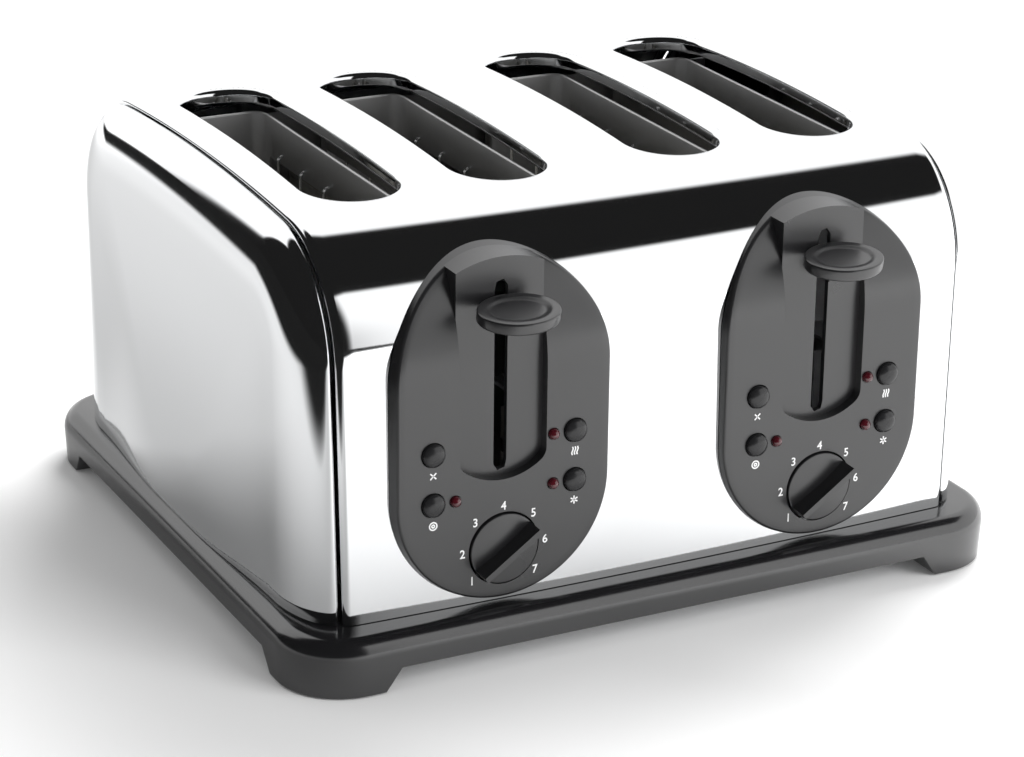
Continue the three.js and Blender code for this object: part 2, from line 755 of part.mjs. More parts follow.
// Control panel: an oval shell whose face leans back along the body's shoulder,
// with a flat channel for the lever that stands proud above and is sunk below
function channelShape(grow) {
  const half = channelHalfWidth + grow;
  const centreZ = channelFootZ + channelFootRadius;
  const radius = channelFootRadius + grow;
  const swing = Math.asin(half / radius);
  const shape = new THREE.Shape();
  shape.moveTo(channelMidX + half, bodyTopZ + overrun);
  shape.lineTo(channelMidX - half, bodyTopZ + overrun);
  shape.absarc(channelMidX, centreZ, radius, -Math.PI / 2 - swing, -Math.PI / 2 + swing, false);
  return shape;
}

// Everything behind the panel's leaning face, moved back by depth
function behindFace(depth) {
  const shape = new THREE.Shape();
  const faceY = panelFaceY + depth;
  const swing = Math.asin((panelHighZ + panelHalfWidth + gap - panelBendZ) / panelBendRadius);
  const centreY = faceY + panelBendRadius;
  shape.moveTo(0, -overrun);
  shape.lineTo(0, panelBendZ + panelBendRadius * Math.sin(swing));
  shape.absarc(centreY, panelBendZ, panelBendRadius, Math.PI - swing, Math.PI, false);
  shape.lineTo(faceY, -overrun);
  return prism('x', shape, -panelHalfWidth - overrun, panelHalfWidth + overrun, 4);
}

function panelBlank(inset, depth) {
  const farY = panelFaceY - overrun;
  const oval = prism('y', panelShape(0, inset), farY, 0, 9);
  const face = behindFace(depth);
  const around = prism('y', channelShape(depth), farY, 0, 5);
  const within = prism('y', channelShape(-depth), channelY + depth, 0, 5);
  const sunk = prism('y', channelShape(depth), channelY + depth, 0, 5);
  return common(oval, join(cut(face, around), common(face, sunk), within));
}

function controlPanel(side) {
  const farY = panelFaceY - overrun;
  const window = prism('y', panelShape(0, panelWindowInset + gap), farY, 0, 9);
  const body = cut(bodyVolume(gap).translate([-side * pairX, 0, 0]), window);
  let panel = cut(panelBlank(0, 0), body, panelBlank(panelWall, panelWall));
  const lever = stadium(0, leverSlotWidth / 2, leverSlotLowZ + leverSlotWidth / 2, leverSlotHighZ - leverSlotWidth / 2);
  panel = cut(panel, prism('y', lever, farY, 0, 4), rod('y', 0, knobZ, knobHoleRadius, farY, 0, 16));
  for (const { x, z } of buttonPlaces) panel = cut(panel, rod('y', x, z, buttonHoleRadius, farY, 0, 6));
  for (const { x, z } of lampPlaces) panel = cut(panel, rod('y', x, z, lampRadius + gap, farY, 0, 4));
  const postPlaces = [[postUpperX, buttonLowerZ + postUpperRise], [postLowerX, knobZ - postLowerDrop]];
  const posts = postPlaces.flatMap(([x, z]) => [-x, x].map((at) =>
    rod('y', at, z, postRadius, panelFaceY + panelWall / 2, boardY - gap, 4)));
  return join(panel, ...posts);
}

const buttonPlaces = [
  { name: 'cancel', x: -buttonX, z: buttonUpperZ },
  { name: 'bagel', x: -buttonX, z: buttonLowerZ },
  { name: 'reheat', x: buttonX, z: buttonUpperZ },
  { name: 'defrost', x: buttonX, z: buttonLowerZ },
];
const lampPlaces = [
  { name: 'bagel', x: -lampX, z: buttonLowerZ },
  { name: 'reheat', x: lampX, z: buttonUpperZ },
  { name: 'defrost', x: lampX, z: buttonLowerZ },
];

// Knob: a shallow dome with a tall grip ridge across it, on a shaft that reaches the potentiometer
function knob() {
  const domeSteps = 4;
  const profile = [[0, -knobDepth], [knobRadius, -knobDepth]];
  for (let i = domeSteps; i >= 0; i--) {
    const share = i / domeSteps;
    profile.push([knobRadius * share, knobRise + knobCrown * (1 - share ** 2)]);
  }
  const dome = turnedForward(profile, 0, 0, 0, 32);
  const flank = ridgeFlankShares.map(([wide, high]) => [ridgeHalfWidth * wide, -ridgeHeight * high]);
  const mirrored = flank.map(([v, y]) => [-v, y]).reverse();
  const ridge = prism('x', outline(...[...flank, ...mirrored].map(([v, y]) => [y, v])), -knobRadius, knobRadius);
  const round = rod('y', 0, 0, knobRadius - ridgeTrim, -ridgeHeight, 0, 16);
  const shaft = rod('y', 0, 0, knobShaftRadius, 0, boardY - potDepth - gap - panelFaceY, 6);
  return join(dome, common(ridge, round).rotate([0, -pointerAngle / degrees, 0]), shaft);
}

function button() {
  const domeSteps = 3;
  const innerFace = -panelWall - gap;
  const flangeRadius = buttonHoleRadius + buttonFlange;
  const profile = [[0, -buttonDepth], [buttonRadius, -buttonDepth], [buttonRadius, innerFace - buttonFlange],
    [flangeRadius, innerFace - buttonFlange], [flangeRadius, innerFace], [buttonRadius, innerFace]];
  for (let i = domeSteps; i >= 0; i--) {
    const share = i / domeSteps;
    profile.push([buttonRadius * share, buttonRise + buttonCrown * Math.sqrt(1 - (1 - buttonRimShare ** 2) * share ** 2)]);
  }
  return profile;
}

// Lamp lens: a domed light pipe that starts at the board
function lampLens() {
  const domeSteps = 3;
  const backY = panelFaceY - boardY + gap;
  const profile = [[0, backY], [lampRadius, backY]];
  for (let i = domeSteps; i >= 0; i--) {
    const turn = (i / domeSteps) * (Math.PI / 2);
    profile.push([lampRadius * Math.sin(turn), lampRise + lampRadius * Math.cos(turn)]);
  }
  return profile;
}

// Lever paddle: a dished elliptical pad with a neck, socketed onto the carriage's stem
function paddle() {
  const sides = 32;
  const ring = (inset, z) => {
    const points = [];
    for (let i = 0; i < sides; i++) {
      const turn = (i / sides) * 2 * Math.PI;
      const x = (paddleHalfWidth - inset) * Math.cos(turn);
      points.push(new THREE.Vector3(x, (paddleHalfDepth - inset) * Math.sin(turn), z));
    }
    return points;
  };
  const half = paddleThickness / 2;
  const pad = stack([ring(paddleEdge, -half), ring(0, -half + paddleEdge), ring(0, half - paddleEdge),
    ring(paddleLip, half), ring(paddleRim, half), ring(paddleSlope, half - paddleDish)]);
  const placed = pad.rotate([paddleTilt / degrees, 0, 0]).translate([0, paddleMidY, paddleZ]);
  const neckWall = paddleNeck - stemHalfWidth - gap;
  const neck = box(-paddleNeck, paddleNeck, stemReachY - neckWall, channelY - gap, stemFootZ - neckWall, paddleZ);
  const socket = box(-stemHalfWidth - gap, stemHalfWidth + gap, stemReachY - gap, overrun,
    stemFootZ - gap, stemFootZ + stemHeight + gap);
  return cut(join(placed, neck), socket);
}

// Lift carriage: a crossbar under both lifts' tabs, a spine, two eyes on the guide rod and the lever stem
function carriage() {
  const reach = slotX + liftTab;
  const [low, high] = [crossbarFootZ, crossbarTopZ];
  const back = crossbarY + crossbarThickness;
  const bar = box(-reach, reach, crossbarY, back, low, high);
  const spine = box(-spineHalfWidth, spineHalfWidth, crossbarY, back, low, stemFootZ + stemHeight);
  const eye = (z) => join(rod('z', 0, rodY, eyeRadius, z, z + eyeHeight),
    box(-stemHalfWidth, stemHalfWidth, rodY, back, z, z + eyeHeight));
  const stem = box(-stemHalfWidth, stemHalfWidth, stemReachY, rodY, stemFootZ, stemFootZ + stemHeight);
  const armature = box(magnetX - armatureWidth / 2, magnetX + armatureWidth / 2,
    crossbarY - magnetDepth, back, high - armatureThickness, high);
  const bore = rod('z', 0, rodY, rodRadius + runningGap, -overrun, bodyTopZ);
  return cut(join(bar, spine, eye(low), eye(stemFootZ), stem, armature), bore);
}

// Bread lift: a strip with cross ribs, and a tab that reaches the carriage through the slit
function breadLift(x) {
  const [front, back] = [slotMidY - wellHalfLength + liftInset, slotMidY + wellHalfLength - liftInset];
  const edge = [[liftTab / 2, crossbarY + crossbarThickness + gap], [liftTab / 2, front], [liftWidth / 2, front]];
  for (let i = 0; i < liftRibCount; i++) {
    const y = slotMidY + (i - (liftRibCount - 1) / 2) * liftRibPitch;
    const [near, far] = [y - liftRibWidth / 2, y + liftRibWidth / 2];
    edge.push([liftWidth / 2, near], [liftRib / 2, near], [liftRib / 2, far], [liftWidth / 2, far]);
  }
  edge.push([liftWidth / 2, back]);
  const left = edge.map(([half, y]) => [x - half, y]).reverse();
  const right = edge.map(([half, y]) => [x + half, y]);
  return prism('z', outline(...right, ...left), liftZ, liftZ + liftThickness);
}

const guideRod = () => rod('z', 0, rodY, rodRadius, deckZ, rodTopZ, 6);

// Return spring: one wire wound round the guide rod, from the bottom plate to the lower eye
class Helix extends THREE.Curve {
  getPoint(t) {
    const turn = t * springTurns * 2 * Math.PI;
    const low = deckZ + springWire;
    const high = crossbarFootZ - gap - springWire;
    return new THREE.Vector3(springRadius * Math.cos(turn), rodY + springRadius * Math.sin(turn), low + (high - low) * t);
  }
}

function returnSpring() {
  const wire = new THREE.Shape();
  for (let i = 0; i < springSides; i++) {
    const turn = (i / springSides) * 2 * Math.PI;
    const [u, v] = [springWire * Math.cos(turn), springWire * Math.sin(turn)];
    if (i) wire.lineTo(u, v);
    else wire.moveTo(u, v);
  }
  const steps = springTurns * springSteps;
  return solidOf(new THREE.ExtrudeGeometry(wire, { steps, extrudePath: new Helix(), bevelEnabled: false }));
}

// Control board: notched for the lever stem, with the potentiometer and the button switches on its front
function controlBoard() {
  const shape = outline([-boardHalfWidth, boardFootZ], [boardHalfWidth, boardFootZ], [boardHalfWidth, boardTopZ],
    [boardNotchHalfWidth, boardTopZ], [boardNotchHalfWidth, boardNotchZ], [-boardNotchHalfWidth, boardNotchZ],
    [-boardNotchHalfWidth, boardTopZ], [-boardHalfWidth, boardTopZ]);
  const plate = prism('y', shape, boardY, boardY + boardThickness);
  const pot = rod('y', 0, knobZ, potRadius, boardY - potDepth, boardY + boardThickness / 2);
  const plungerTip = panelFaceY + buttonDepth + buttonTravel + gap;
  const switches = buttonPlaces.map(({ x, z }) => join(
    box(x - switchHalf, x + switchHalf, boardY - switchDepth, boardY + boardThickness / 2, z - switchHalf, z + switchHalf),
    rod('y', x, z, plungerRadius, plungerTip, boardY, 3)));
  return join(plate, pot, ...switches);
}

// Electromagnet: an upright core in a coil, on a foot plate
function electromagnet() {
  const front = crossbarY - gap - magnetDepth;
  const back = crossbarY - gap - sheet;
  const middle = (front + back) / 2;
  const coilLow = deckZ + magnetCore;
  const foot = box(magnetX - magnetHalfWidth, magnetX + magnetHalfWidth, front, back, deckZ, coilLow);
  const coil = rod('z', magnetX, middle, coilRadius, coilLow, coilLow + coilHeight);
  const core = rod('z', magnetX, middle, magnetCore, deckZ, magnetTopZ, 4);
  return join(foot, coil, core);
}

function cordGland() {
  const wallY = bowed(0, section[section.length - 1].y - (glandZ - bodyFootZ) / Math.tan(wallAngle));
  const grooveLow = -sheet - gap;
  const [inner, outer] = [grooveLow - glandFlange, gap + glandFlange];
  const profile = [[glandBore, inner], [glandFlangeRadius, inner], [glandFlangeRadius, grooveLow],
    [glandHoleRadius, grooveLow], [glandHoleRadius, gap], [glandFlangeRadius, gap],
    [glandFlangeRadius, outer], [glandBore, outer], [glandBore, inner]];
  return solidOf(lathe(profile, 16).translate(0, wallY, glandZ));
}

// Assembly
const toaster = new THREE.Group();
const paddleFrontY = paddleMidY - paddleHalfDepth * Math.cos(paddleTilt)
  - (paddleThickness / 2 - paddleEdge) * Math.sin(paddleTilt);
toaster.position.y = -(paddleFrontY + baseHalfDepth) / 2;

function add(parent, name, solid, material, place = [0, 0, 0]) {
  const mesh = new THREE.Mesh(geometryOf(solid), material.clone());
  mesh.name = name;
  mesh.position.set(...place);
  parent.add(mesh);
}

add(toaster, 'wrap_cover', wrapCover(), chrome);
add(toaster, 'base_frame', baseFrame(), blackPlastic);
add(toaster, 'bottom_plate', bottomPlate(), steel);
add(toaster, 'chassis_plate_front', chassisPlate(chassisFrontY, true), steel);
add(toaster, 'chassis_plate_back', chassisPlate(chassisBackY, false), steel);
add(toaster, 'cord_gland', cordGland(), rubber);
['left_front', 'left_back', 'right_front', 'right_back'].forEach((corner, i) => {
  add(toaster, `rubber_foot_${corner}`, rubberFoot(padPlaces[i]), rubber);
});

for (const [hand, side] of [['left', -1], ['right', 1]]) {
  add(toaster, `side_cover_${hand}`, sideCover(side), chrome);
  add(toaster, `crumb_tray_${hand}`, crumbTray(side), steel);

  const pair = new THREE.Group();
  pair.position.x = side * pairX;
  toaster.add(pair);
  add(pair, `control_panel_${hand}`, controlPanel(side), blackPlastic);
  add(pair, `knob_${hand}`, knob(), blackPlastic, [0, panelFaceY, knobZ]);
  for (const { name, x, z } of buttonPlaces) {
    add(pair, `button_${name}_${hand}`, turnedForward(button(), 0, 0, 0, 14), glossBlack, [x, panelFaceY, z]);
  }
  for (const { name, x, z } of lampPlaces) {
    add(pair, `lamp_lens_${name}_${hand}`, turnedForward(lampLens(), 0, 0, 0, 9), lampRed, [x, panelFaceY, z]);
  }
  add(pair, `lever_paddle_${hand}`, paddle(), blackPlastic);
  add(pair, `lift_carriage_${hand}`, carriage(), steel);
  add(pair, `guide_rod_${hand}`, guideRod(), steel);
  add(pair, `return_spring_${hand}`, returnSpring(), springSteel);
  add(pair, `control_board_${hand}`, controlBoard(), boardGreen);
  add(pair, `electromagnet_${hand}`, electromagnet(), copper);
  for (const [place, x] of [['a', -slotX], ['b', slotX]]) {
    add(pair, `bread_well_${hand}_${place}`, breadWell(x), steel);
    add(pair, `bread_lift_${hand}_${place}`, breadLift(x), steel);
  }
  const outerCard = slotX + wellHalfWidth + wellWall + cardOffset;
  for (const [place, x] of [['a', -outerCard], ['middle', 0], ['b', outerCard]]) {
    add(pair, `heater_card_${hand}_${place}`, heaterCard(x), mica);
  }
}

export default toaster;
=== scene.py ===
# A four-slot toaster: polished wrap and side covers, black base and two oval control panels.
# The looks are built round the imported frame, in metres, with +Z up and the front facing -Y.
import math

import bmesh
import bpy
from mathutils import Matrix, Vector


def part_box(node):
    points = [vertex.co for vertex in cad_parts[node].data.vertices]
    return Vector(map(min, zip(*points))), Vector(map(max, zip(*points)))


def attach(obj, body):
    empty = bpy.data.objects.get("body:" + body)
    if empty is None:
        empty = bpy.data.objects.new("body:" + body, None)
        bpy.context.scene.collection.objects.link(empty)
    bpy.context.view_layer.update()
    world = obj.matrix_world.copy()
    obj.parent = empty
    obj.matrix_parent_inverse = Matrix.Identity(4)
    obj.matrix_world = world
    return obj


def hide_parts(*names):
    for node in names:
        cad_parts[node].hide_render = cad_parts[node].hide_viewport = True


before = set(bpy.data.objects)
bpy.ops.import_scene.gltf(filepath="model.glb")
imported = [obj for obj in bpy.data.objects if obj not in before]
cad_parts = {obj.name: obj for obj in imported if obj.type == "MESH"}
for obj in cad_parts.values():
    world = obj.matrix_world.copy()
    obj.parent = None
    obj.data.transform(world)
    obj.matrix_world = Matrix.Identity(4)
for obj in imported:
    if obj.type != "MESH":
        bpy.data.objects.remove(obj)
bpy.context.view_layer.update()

mm = 0.001
quarter = math.pi / 2
hands = {"left": -1, "right": 1}


def middle(node, axis):
    """Middle of a node's box along one axis."""
    low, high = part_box(node)
    return (low[axis] + high[axis]) / 2


# Places from the frame
mid_y = middle("base_frame", 1)
pair_x = middle("control_panel_right", 0)
slot_x = (middle("bread_well_right_b", 0) - middle("bread_well_right_a", 0)) / 2
body_top_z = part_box("wrap_cover")[1].z
body_foot_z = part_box("wrap_cover")[0].z
wrap_half_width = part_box("wrap_cover")[1].x
seam_gap = 1.4 * mm
cover_seam_x = wrap_half_width + seam_gap

# Body section in the YZ plane: a crown arc, a shoulder arc, then a drafted wall
hip_half_depth = 130.5 * mm
crown_radius = 1100 * mm
shoulder_radius = 50 * mm
wall_angle = math.radians(89.2)
wall_bow_share = 2.5 / 130.5
bow_half_width = 139.2 * mm
wrap_lean = 2.2 * mm
wrap_roll = 3 * mm
sheet = 1 * mm

# Bread slots and wells
slot_radius = 20.1 * mm
slot_straight = 61.3 * mm
slot_mid_y = mid_y - 1.6 * mm
lip_roll = 2.8 * mm
lip_depth = 6.5 * mm
lip_wall = 0.8 * mm
well_wall = 1 * mm
well_half_width = 18.5 * mm
well_half_length = 71.5 * mm
well_corner = 5 * mm
well_foot_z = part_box("bread_well_right_a")[0].z
well_top_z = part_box("bread_well_right_a")[1].z
well_bead = 0.8 * mm
window_foot_z = 40 * mm
window_top_z = 152 * mm
window_margin = 9 * mm
guard_count = 5
guard_pitch = 24 * mm
guard_radius = 0.75 * mm
guard_inset = 2.2 * mm
guard_reach = 4 * mm
guard_bend = 2 * mm
slit_half_width = 2.9 * mm
slit_low_z = 35.6 * mm
slit_high_z = 93.6 * mm

# Side covers
cover_depth = 11.6 * mm
cover_rim = 28 * mm
cover_bow = 4 * mm
cover_flat_share = 0.8

# Base
base_half_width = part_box("base_frame")[1].x
base_half_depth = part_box("base_frame")[1].y - mid_y
base_top_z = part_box("base_frame")[1].z
base_foot_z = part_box("base_frame")[0].z
base_corner = 28 * mm
base_roll_inset = 6.5 * mm
base_roll_height = 8 * mm
base_draft = 0.8 * mm
base_wall = 3 * mm
base_ledge = 20 * mm
apron_z = 10.2 * mm
foot_length = 34.5 * mm
foot_chamfer = 7.1 * mm
pad_radius = 7.3 * mm
pad_depth = 2.6 * mm
door_gap = 0.4 * mm
tray_half_width = 55 * mm
tray_deck_z = 11.8 * mm
tray_wall = 0.9 * mm
gland_hole = 5.5 * mm

# Control panels
panel_half_width = 45.5 * mm
panel_low_z = 72 * mm
panel_high_z = 120 * mm
panel_mid_z = (panel_high_z + panel_low_z) / 2
panel_straight = (panel_high_z - panel_low_z) / 2
panel_face_y = mid_y - 137.3 * mm
panel_bend_z = 118 * mm
panel_bend_radius = 75 * mm
panel_wall = 2.4 * mm
panel_round = 1.2 * mm
panel_flare = 2.6 * mm
panel_flare_depth = 12 * mm
panel_window_inset = 6.5 * mm
channel_mid_x = -0.6 * mm
channel_half_width = 18.6 * mm
channel_y = mid_y - 133 * mm
channel_foot_z = 76.3 * mm
channel_foot_radius = 27 * mm
channel_corner = 6 * mm
lever_slot_half_width = 2.8 * mm
lever_slot_low_z = 78.5 * mm
lever_slot_high_z = 156.6 * mm

# Controls
knob_z = 47.4 * mm
knob_radius = 14.5 * mm
knob_hole = 15.2 * mm
knob_rise = 0.9 * mm
knob_crown = 1.2 * mm
knob_depth = 3.2 * mm
knob_round = 0.5 * mm
ridge_height = 9.2 * mm
ridge_half_width = 1.2 * mm
ridge_flare_share = 0.55
ridge_flare_power = 2.4
pointer_angle = math.radians(35)
shaft_radius = 3 * mm
button_x = 30.4 * mm
button_zs = {"upper": 91.5 * mm, "lower": 70.8 * mm}
button_radius = 4.7 * mm
button_hole = 5.1 * mm
button_rise = 0.9 * mm
button_crown = 2.1 * mm
button_depth = 5.5 * mm
lamp_x = 21 * mm
lamp_radius = 2.2 * mm
lamp_hole = 2.5 * mm
lamp_rise = 0.4 * mm
buttons = {"cancel": (-1, "upper"), "bagel": (-1, "lower"), "reheat": (1, "upper"), "defrost": (1, "lower")}
lamps = {"bagel": (-1, "lower"), "reheat": (1, "upper"), "defrost": (1, "lower")}

# Lever paddles
paddle_half_width = 16.5 * mm
paddle_half_depth = 13.5 * mm
paddle_half_height = 2.5 * mm
paddle_place = Vector((0, mid_y - 147.5 * mm, 147 * mm))
paddle_tilt = math.radians(7)
paddle_round = 1.4 * mm
paddle_lip_round = 0.7 * mm
paddle_rim = 2.6 * mm
paddle_slope = 6 * mm
paddle_dish = 0.8 * mm
neck_half_width = 3.5 * mm
stem_foot_z = 138.6 * mm
stem_half_width = 2.3 * mm
stem_height = 5.6 * mm
stem_reach_y = mid_y - 142.5 * mm
stem_clearance = 0.3 * mm

# Printed marks
digit_radius = 17.9 * mm
digit_height = 3.6 * mm
digit_angles = [220, 178, 134, 91, 45, 2, -40]
mark_height = 3.4 * mm
mark_drop = 8.6 * mm
mark_stroke = 0.55 * mm
mark_thickness = 0.12 * mm
mark_bed = 0.02 * mm
digit_swell = 0.07 * mm


# Camera at the photograph's place
camera_place = Vector((-573.96 * mm, -1129.06 * mm + mid_y, 548.61 * mm))
camera_yaw = math.radians(26.989)
camera_pitch = math.radians(21.18)
camera_roll = math.radians(0.671)
camera_lens = 110.39


def add_camera():
    ahead = Vector((math.sin(camera_yaw) * math.cos(camera_pitch),
                    math.cos(camera_yaw) * math.cos(camera_pitch), -math.sin(camera_pitch)))
    right = Vector((math.cos(camera_yaw), -math.sin(camera_yaw), 0))
    up = right.cross(ahead)
    rolled_right = right * math.cos(camera_roll) + up * math.sin(camera_roll)
    rolled_up = up * math.cos(camera_roll) - right * math.sin(camera_roll)
    camera = bpy.data.objects.new("camera", bpy.data.cameras.new("camera"))
    camera.data.lens = camera_lens
    camera.data.sensor_width = 36
    camera.data.clip_start = 0.05
    camera.data.clip_end = 50
    turn = Matrix((rolled_right, rolled_up, -ahead)).transposed().to_4x4()
    camera.matrix_world = Matrix.Translation(camera_place) @ turn
    bpy.context.scene.collection.objects.link(camera)
    bpy.context.scene.camera = camera


add_camera()


# Shader maths: sockets with operators, and one function for every other node
class Socket:
    def __init__(self, tree, socket):
        self.tree = tree
        self.socket = socket

    def maths(self, operation, first, second):
        return add_node(self.tree, "ShaderNodeMath", {"operation": operation}, {0: first, 1: second})

    def __add__(self, other):
        return self.maths("ADD", self, other)

    __radd__ = __add__

    def __sub__(self, other):
        return self.maths("SUBTRACT", self, other)

    def __rsub__(self, other):
        return self.maths("SUBTRACT", other, self)

    def __mul__(self, other):
        return self.maths("MULTIPLY", self, other)

    __rmul__ = __mul__

    def __gt__(self, other):
        return self.maths("GREATER_THAN", self, other)

    def at_least(self, other):
        return self.maths("MAXIMUM", self, other)

    def ramped(self, low, high):
        """Rises smoothly from 0 at the low value to 1 at the high one."""
        return add_node(self.tree, "ShaderNodeMapRange", {"interpolation_type": "SMOOTHSTEP"},
                        {"Value": self, "From Min": low, "From Max": high})

    def parts(self):
        split = add_node(self.tree, "ShaderNodeSeparateXYZ", values={0: self}).socket.node
        return [Socket(self.tree, split.outputs[axis]) for axis in range(3)]


def add_node(tree, kind, settings=None, values=None, out=0):
    node = tree.nodes.new(kind)
    for name, value in (settings or {}).items():
        setattr(node, name, value)
    for name, value in (values or {}).items():
        if isinstance(value, Socket):
            tree.links.new(value.socket, node.inputs[name])
        else:
            node.inputs[name].default_value = value
    return Socket(tree, node.outputs[out])


class Finish:
    """A material with its Principled shader, and the patterns that its sockets read."""

    def __init__(self, name, colour, roughness, metallic=0.0, **extra):
        self.material = bpy.data.materials.new(name)
        self.material.use_nodes = True
        self.tree = self.material.node_tree
        self.shader = self.tree.nodes["Principled BSDF"]
        self.set("Base Color", (*colour, 1))
        self.set("Roughness", roughness)
        self.set("Metallic", metallic)
        for socket, value in extra.items():
            self.set(socket.replace("_", " "), value)
        self.place = add_node(self.tree, "ShaderNodeTexCoord", out=3)

    def set(self, name, value):
        if isinstance(value, Socket):
            self.tree.links.new(value.socket, self.shader.inputs[name])
        else:
            self.shader.inputs[name].default_value = value

    def noise(self, scale, detail=3.0, roughness=0.5, stretch=None):
        place = self.place
        if stretch:
            place = add_node(self.tree, "ShaderNodeMapping", values={0: place, 3: stretch})
        return add_node(self.tree, "ShaderNodeTexNoise", values={
            "Vector": place, "Scale": scale, "Detail": detail, "Roughness": roughness})

    def spread(self, value, low, high):
        """A value from 0 to 1 spread between two numbers."""
        return value * (high - low) + low

    def mix(self, factor, first, second):
        return add_node(self.tree, "ShaderNodeMix", {"data_type": "RGBA"}, {
            0: factor, 6: first if isinstance(first, Socket) else (*first, 1), 7: (*second, 1)}, out=2)

    def bump(self, height, distance, strength=1.0):
        self.set("Normal", add_node(self.tree, "ShaderNodeBump", values={
            "Height": height, "Distance": distance, "Strength": strength}))


def polished_metal():
    finish = Finish("polished_metal", (0.86, 0.87, 0.88), 0.05, 1.0)
    finish.set("Roughness", finish.spread(finish.noise(14, 4, 0.6), 0.035, 0.085))
    return finish.material


def moulded_black():
    finish = Finish("moulded_black", (0.014, 0.014, 0.015), 0.28, IOR=1.6, Specular_IOR_Level=0.75)
    finish.set("Roughness", finish.spread(finish.noise(25, 3), 0.25, 0.33))
    finish.set("Base Color", finish.mix(finish.noise(40, 4, 0.6), (0.015, 0.015, 0.016), (0.012, 0.012, 0.013)))
    finish.bump(finish.noise(1400, 2, 0.6), 0.03 * mm, 0.35)
    return finish.material


def satin_black():
    finish = Finish("satin_black", (0.01, 0.01, 0.011), 0.18, IOR=1.6, Specular_IOR_Level=1.0)
    finish.set("Roughness", finish.spread(finish.noise(30, 3), 0.14, 0.23))
    finish.set("Base Color", finish.mix(finish.noise(40, 4, 0.6), (0.012, 0.012, 0.013), (0.008, 0.008, 0.009)))
    return finish.material


def gloss_black():
    finish = Finish("gloss_black", (0.016, 0.016, 0.017), 0.24)
    finish.set("Roughness", finish.spread(finish.noise(200, 2), 0.2, 0.3))
    return finish.material


def lamp_red():
    finish = Finish("lamp_red", (0.06, 0.006, 0.01), 0.1, Coat_Weight=1.0, Coat_Roughness=0.04)
    finish.set("Base Color", finish.mix(finish.noise(600, 2), (0.09, 0.008, 0.014), (0.04, 0.005, 0.008)))
    return finish.material


def printed_white():
    finish = Finish("printed_white", (0.8, 0.8, 0.8), 0.5)
    finish.set("Base Color", finish.mix(finish.noise(900, 2), (0.95, 0.95, 0.95), (0.86, 0.86, 0.86)))
    finish.set("Roughness", finish.spread(finish.noise(800, 2), 0.42, 0.6))
    return finish.material


def well_steel():
    finish = Finish("well_steel", (0.7, 0.7, 0.7), 0.42, 0.85)
    brushed = finish.noise(300, 3, 0.6, stretch=(1, 1, 0.04))
    finish.set("Roughness", finish.spread(brushed, 0.36, 0.5))
    finish.set("Base Color", finish.mix(finish.noise(22, 4, 0.6), (0.5, 0.5, 0.5), (0.66, 0.66, 0.66)))
    finish.bump(brushed, 0.02 * mm, 0.4)
    return finish.material


def bright_wire():
    finish = Finish("bright_wire", (0.72, 0.72, 0.72), 0.2, 1.0)
    finish.set("Roughness", finish.spread(finish.noise(150, 3), 0.12, 0.3))
    return finish.material


def plate_steel():
    finish = Finish("plate_steel", (0.5, 0.51, 0.52), 0.35, 1.0)
    finish.set("Roughness", finish.spread(finish.noise(200, 3, 0.6, stretch=(0.05, 1, 1)), 0.28, 0.44))
    return finish.material


def mica_sheet():
    finish = Finish("mica_sheet", (0.42, 0.37, 0.28), 0.6)
    winding_pitch = 7 * mm
    winding_half_width = 0.8 * mm
    height = finish.place.parts()[2]
    across = height.maths("PINGPONG", height, winding_pitch / 2)
    winding = 1 - across.ramped(winding_half_width * 0.8, winding_half_width)
    flake = finish.noise(160, 4, 0.65)
    sheet_colour = finish.mix(flake, (0.34, 0.33, 0.3), (0.2, 0.195, 0.18))
    finish.set("Base Color", finish.mix(winding, sheet_colour, (0.25, 0.24, 0.23)))
    finish.set("Roughness", finish.spread(flake, 0.45, 0.7))
    finish.bump(winding, 0.3 * mm)
    return finish.material


def board_green():
    # The board's colour is darkened to a near black as painted shade, so that what shows through the lever slots reads
    # dark.
    finish = Finish("board_green", (0.006, 0.03, 0.012), 0.5)
    finish.set("Base Color", finish.mix(finish.noise(240, 1) > 0.55, (0.005, 0.024, 0.01), (0.008, 0.04, 0.016)))
    return finish.material


def enamelled_copper():
    finish = Finish("enamelled_copper", (0.5, 0.2, 0.08), 0.3, 1.0)
    turns = finish.noise(500, 1, stretch=(0.02, 0.02, 1))
    finish.set("Roughness", finish.spread(turns, 0.22, 0.4))
    finish.bump(turns, 0.1 * mm, 0.5)
    return finish.material


def black_rubber():
    finish = Finish("black_rubber", (0.02, 0.02, 0.02), 0.8)
    finish.set("Roughness", finish.spread(finish.noise(300, 3), 0.7, 0.9))
    return finish.material


looks = {
    "chrome": polished_metal(), "black_plastic": moulded_black(), "satin_black": satin_black(),
    "gloss_button": gloss_black(),
    "lamp_red": lamp_red(), "steel": plate_steel(), "spring_steel": bright_wire(), "mica": mica_sheet(),
    "circuit_board": board_green(), "copper": enamelled_copper(), "rubber": black_rubber(),
    "well_steel": well_steel(), "printed_white": printed_white(),
}


# Shapes
def closed(bm):
    """Merges the doubles of a closed shape and turns its faces outwards."""
    bmesh.ops.remove_doubles(bm, verts=bm.verts, dist=0.001 * mm)
    bmesh.ops.dissolve_degenerate(bm, edges=bm.edges, dist=0.001 * mm)
    bmesh.ops.recalc_face_normals(bm, faces=bm.faces)
    return bm


def capped(bm):
    """Merges the doubles of a tube and closes its open ends with flat faces."""
    bmesh.ops.remove_doubles(bm, verts=bm.verts, dist=0.001 * mm)
    bmesh.ops.holes_fill(bm, edges=[edge for edge in bm.edges if edge.is_boundary], sides=0)
    return closed(bm)


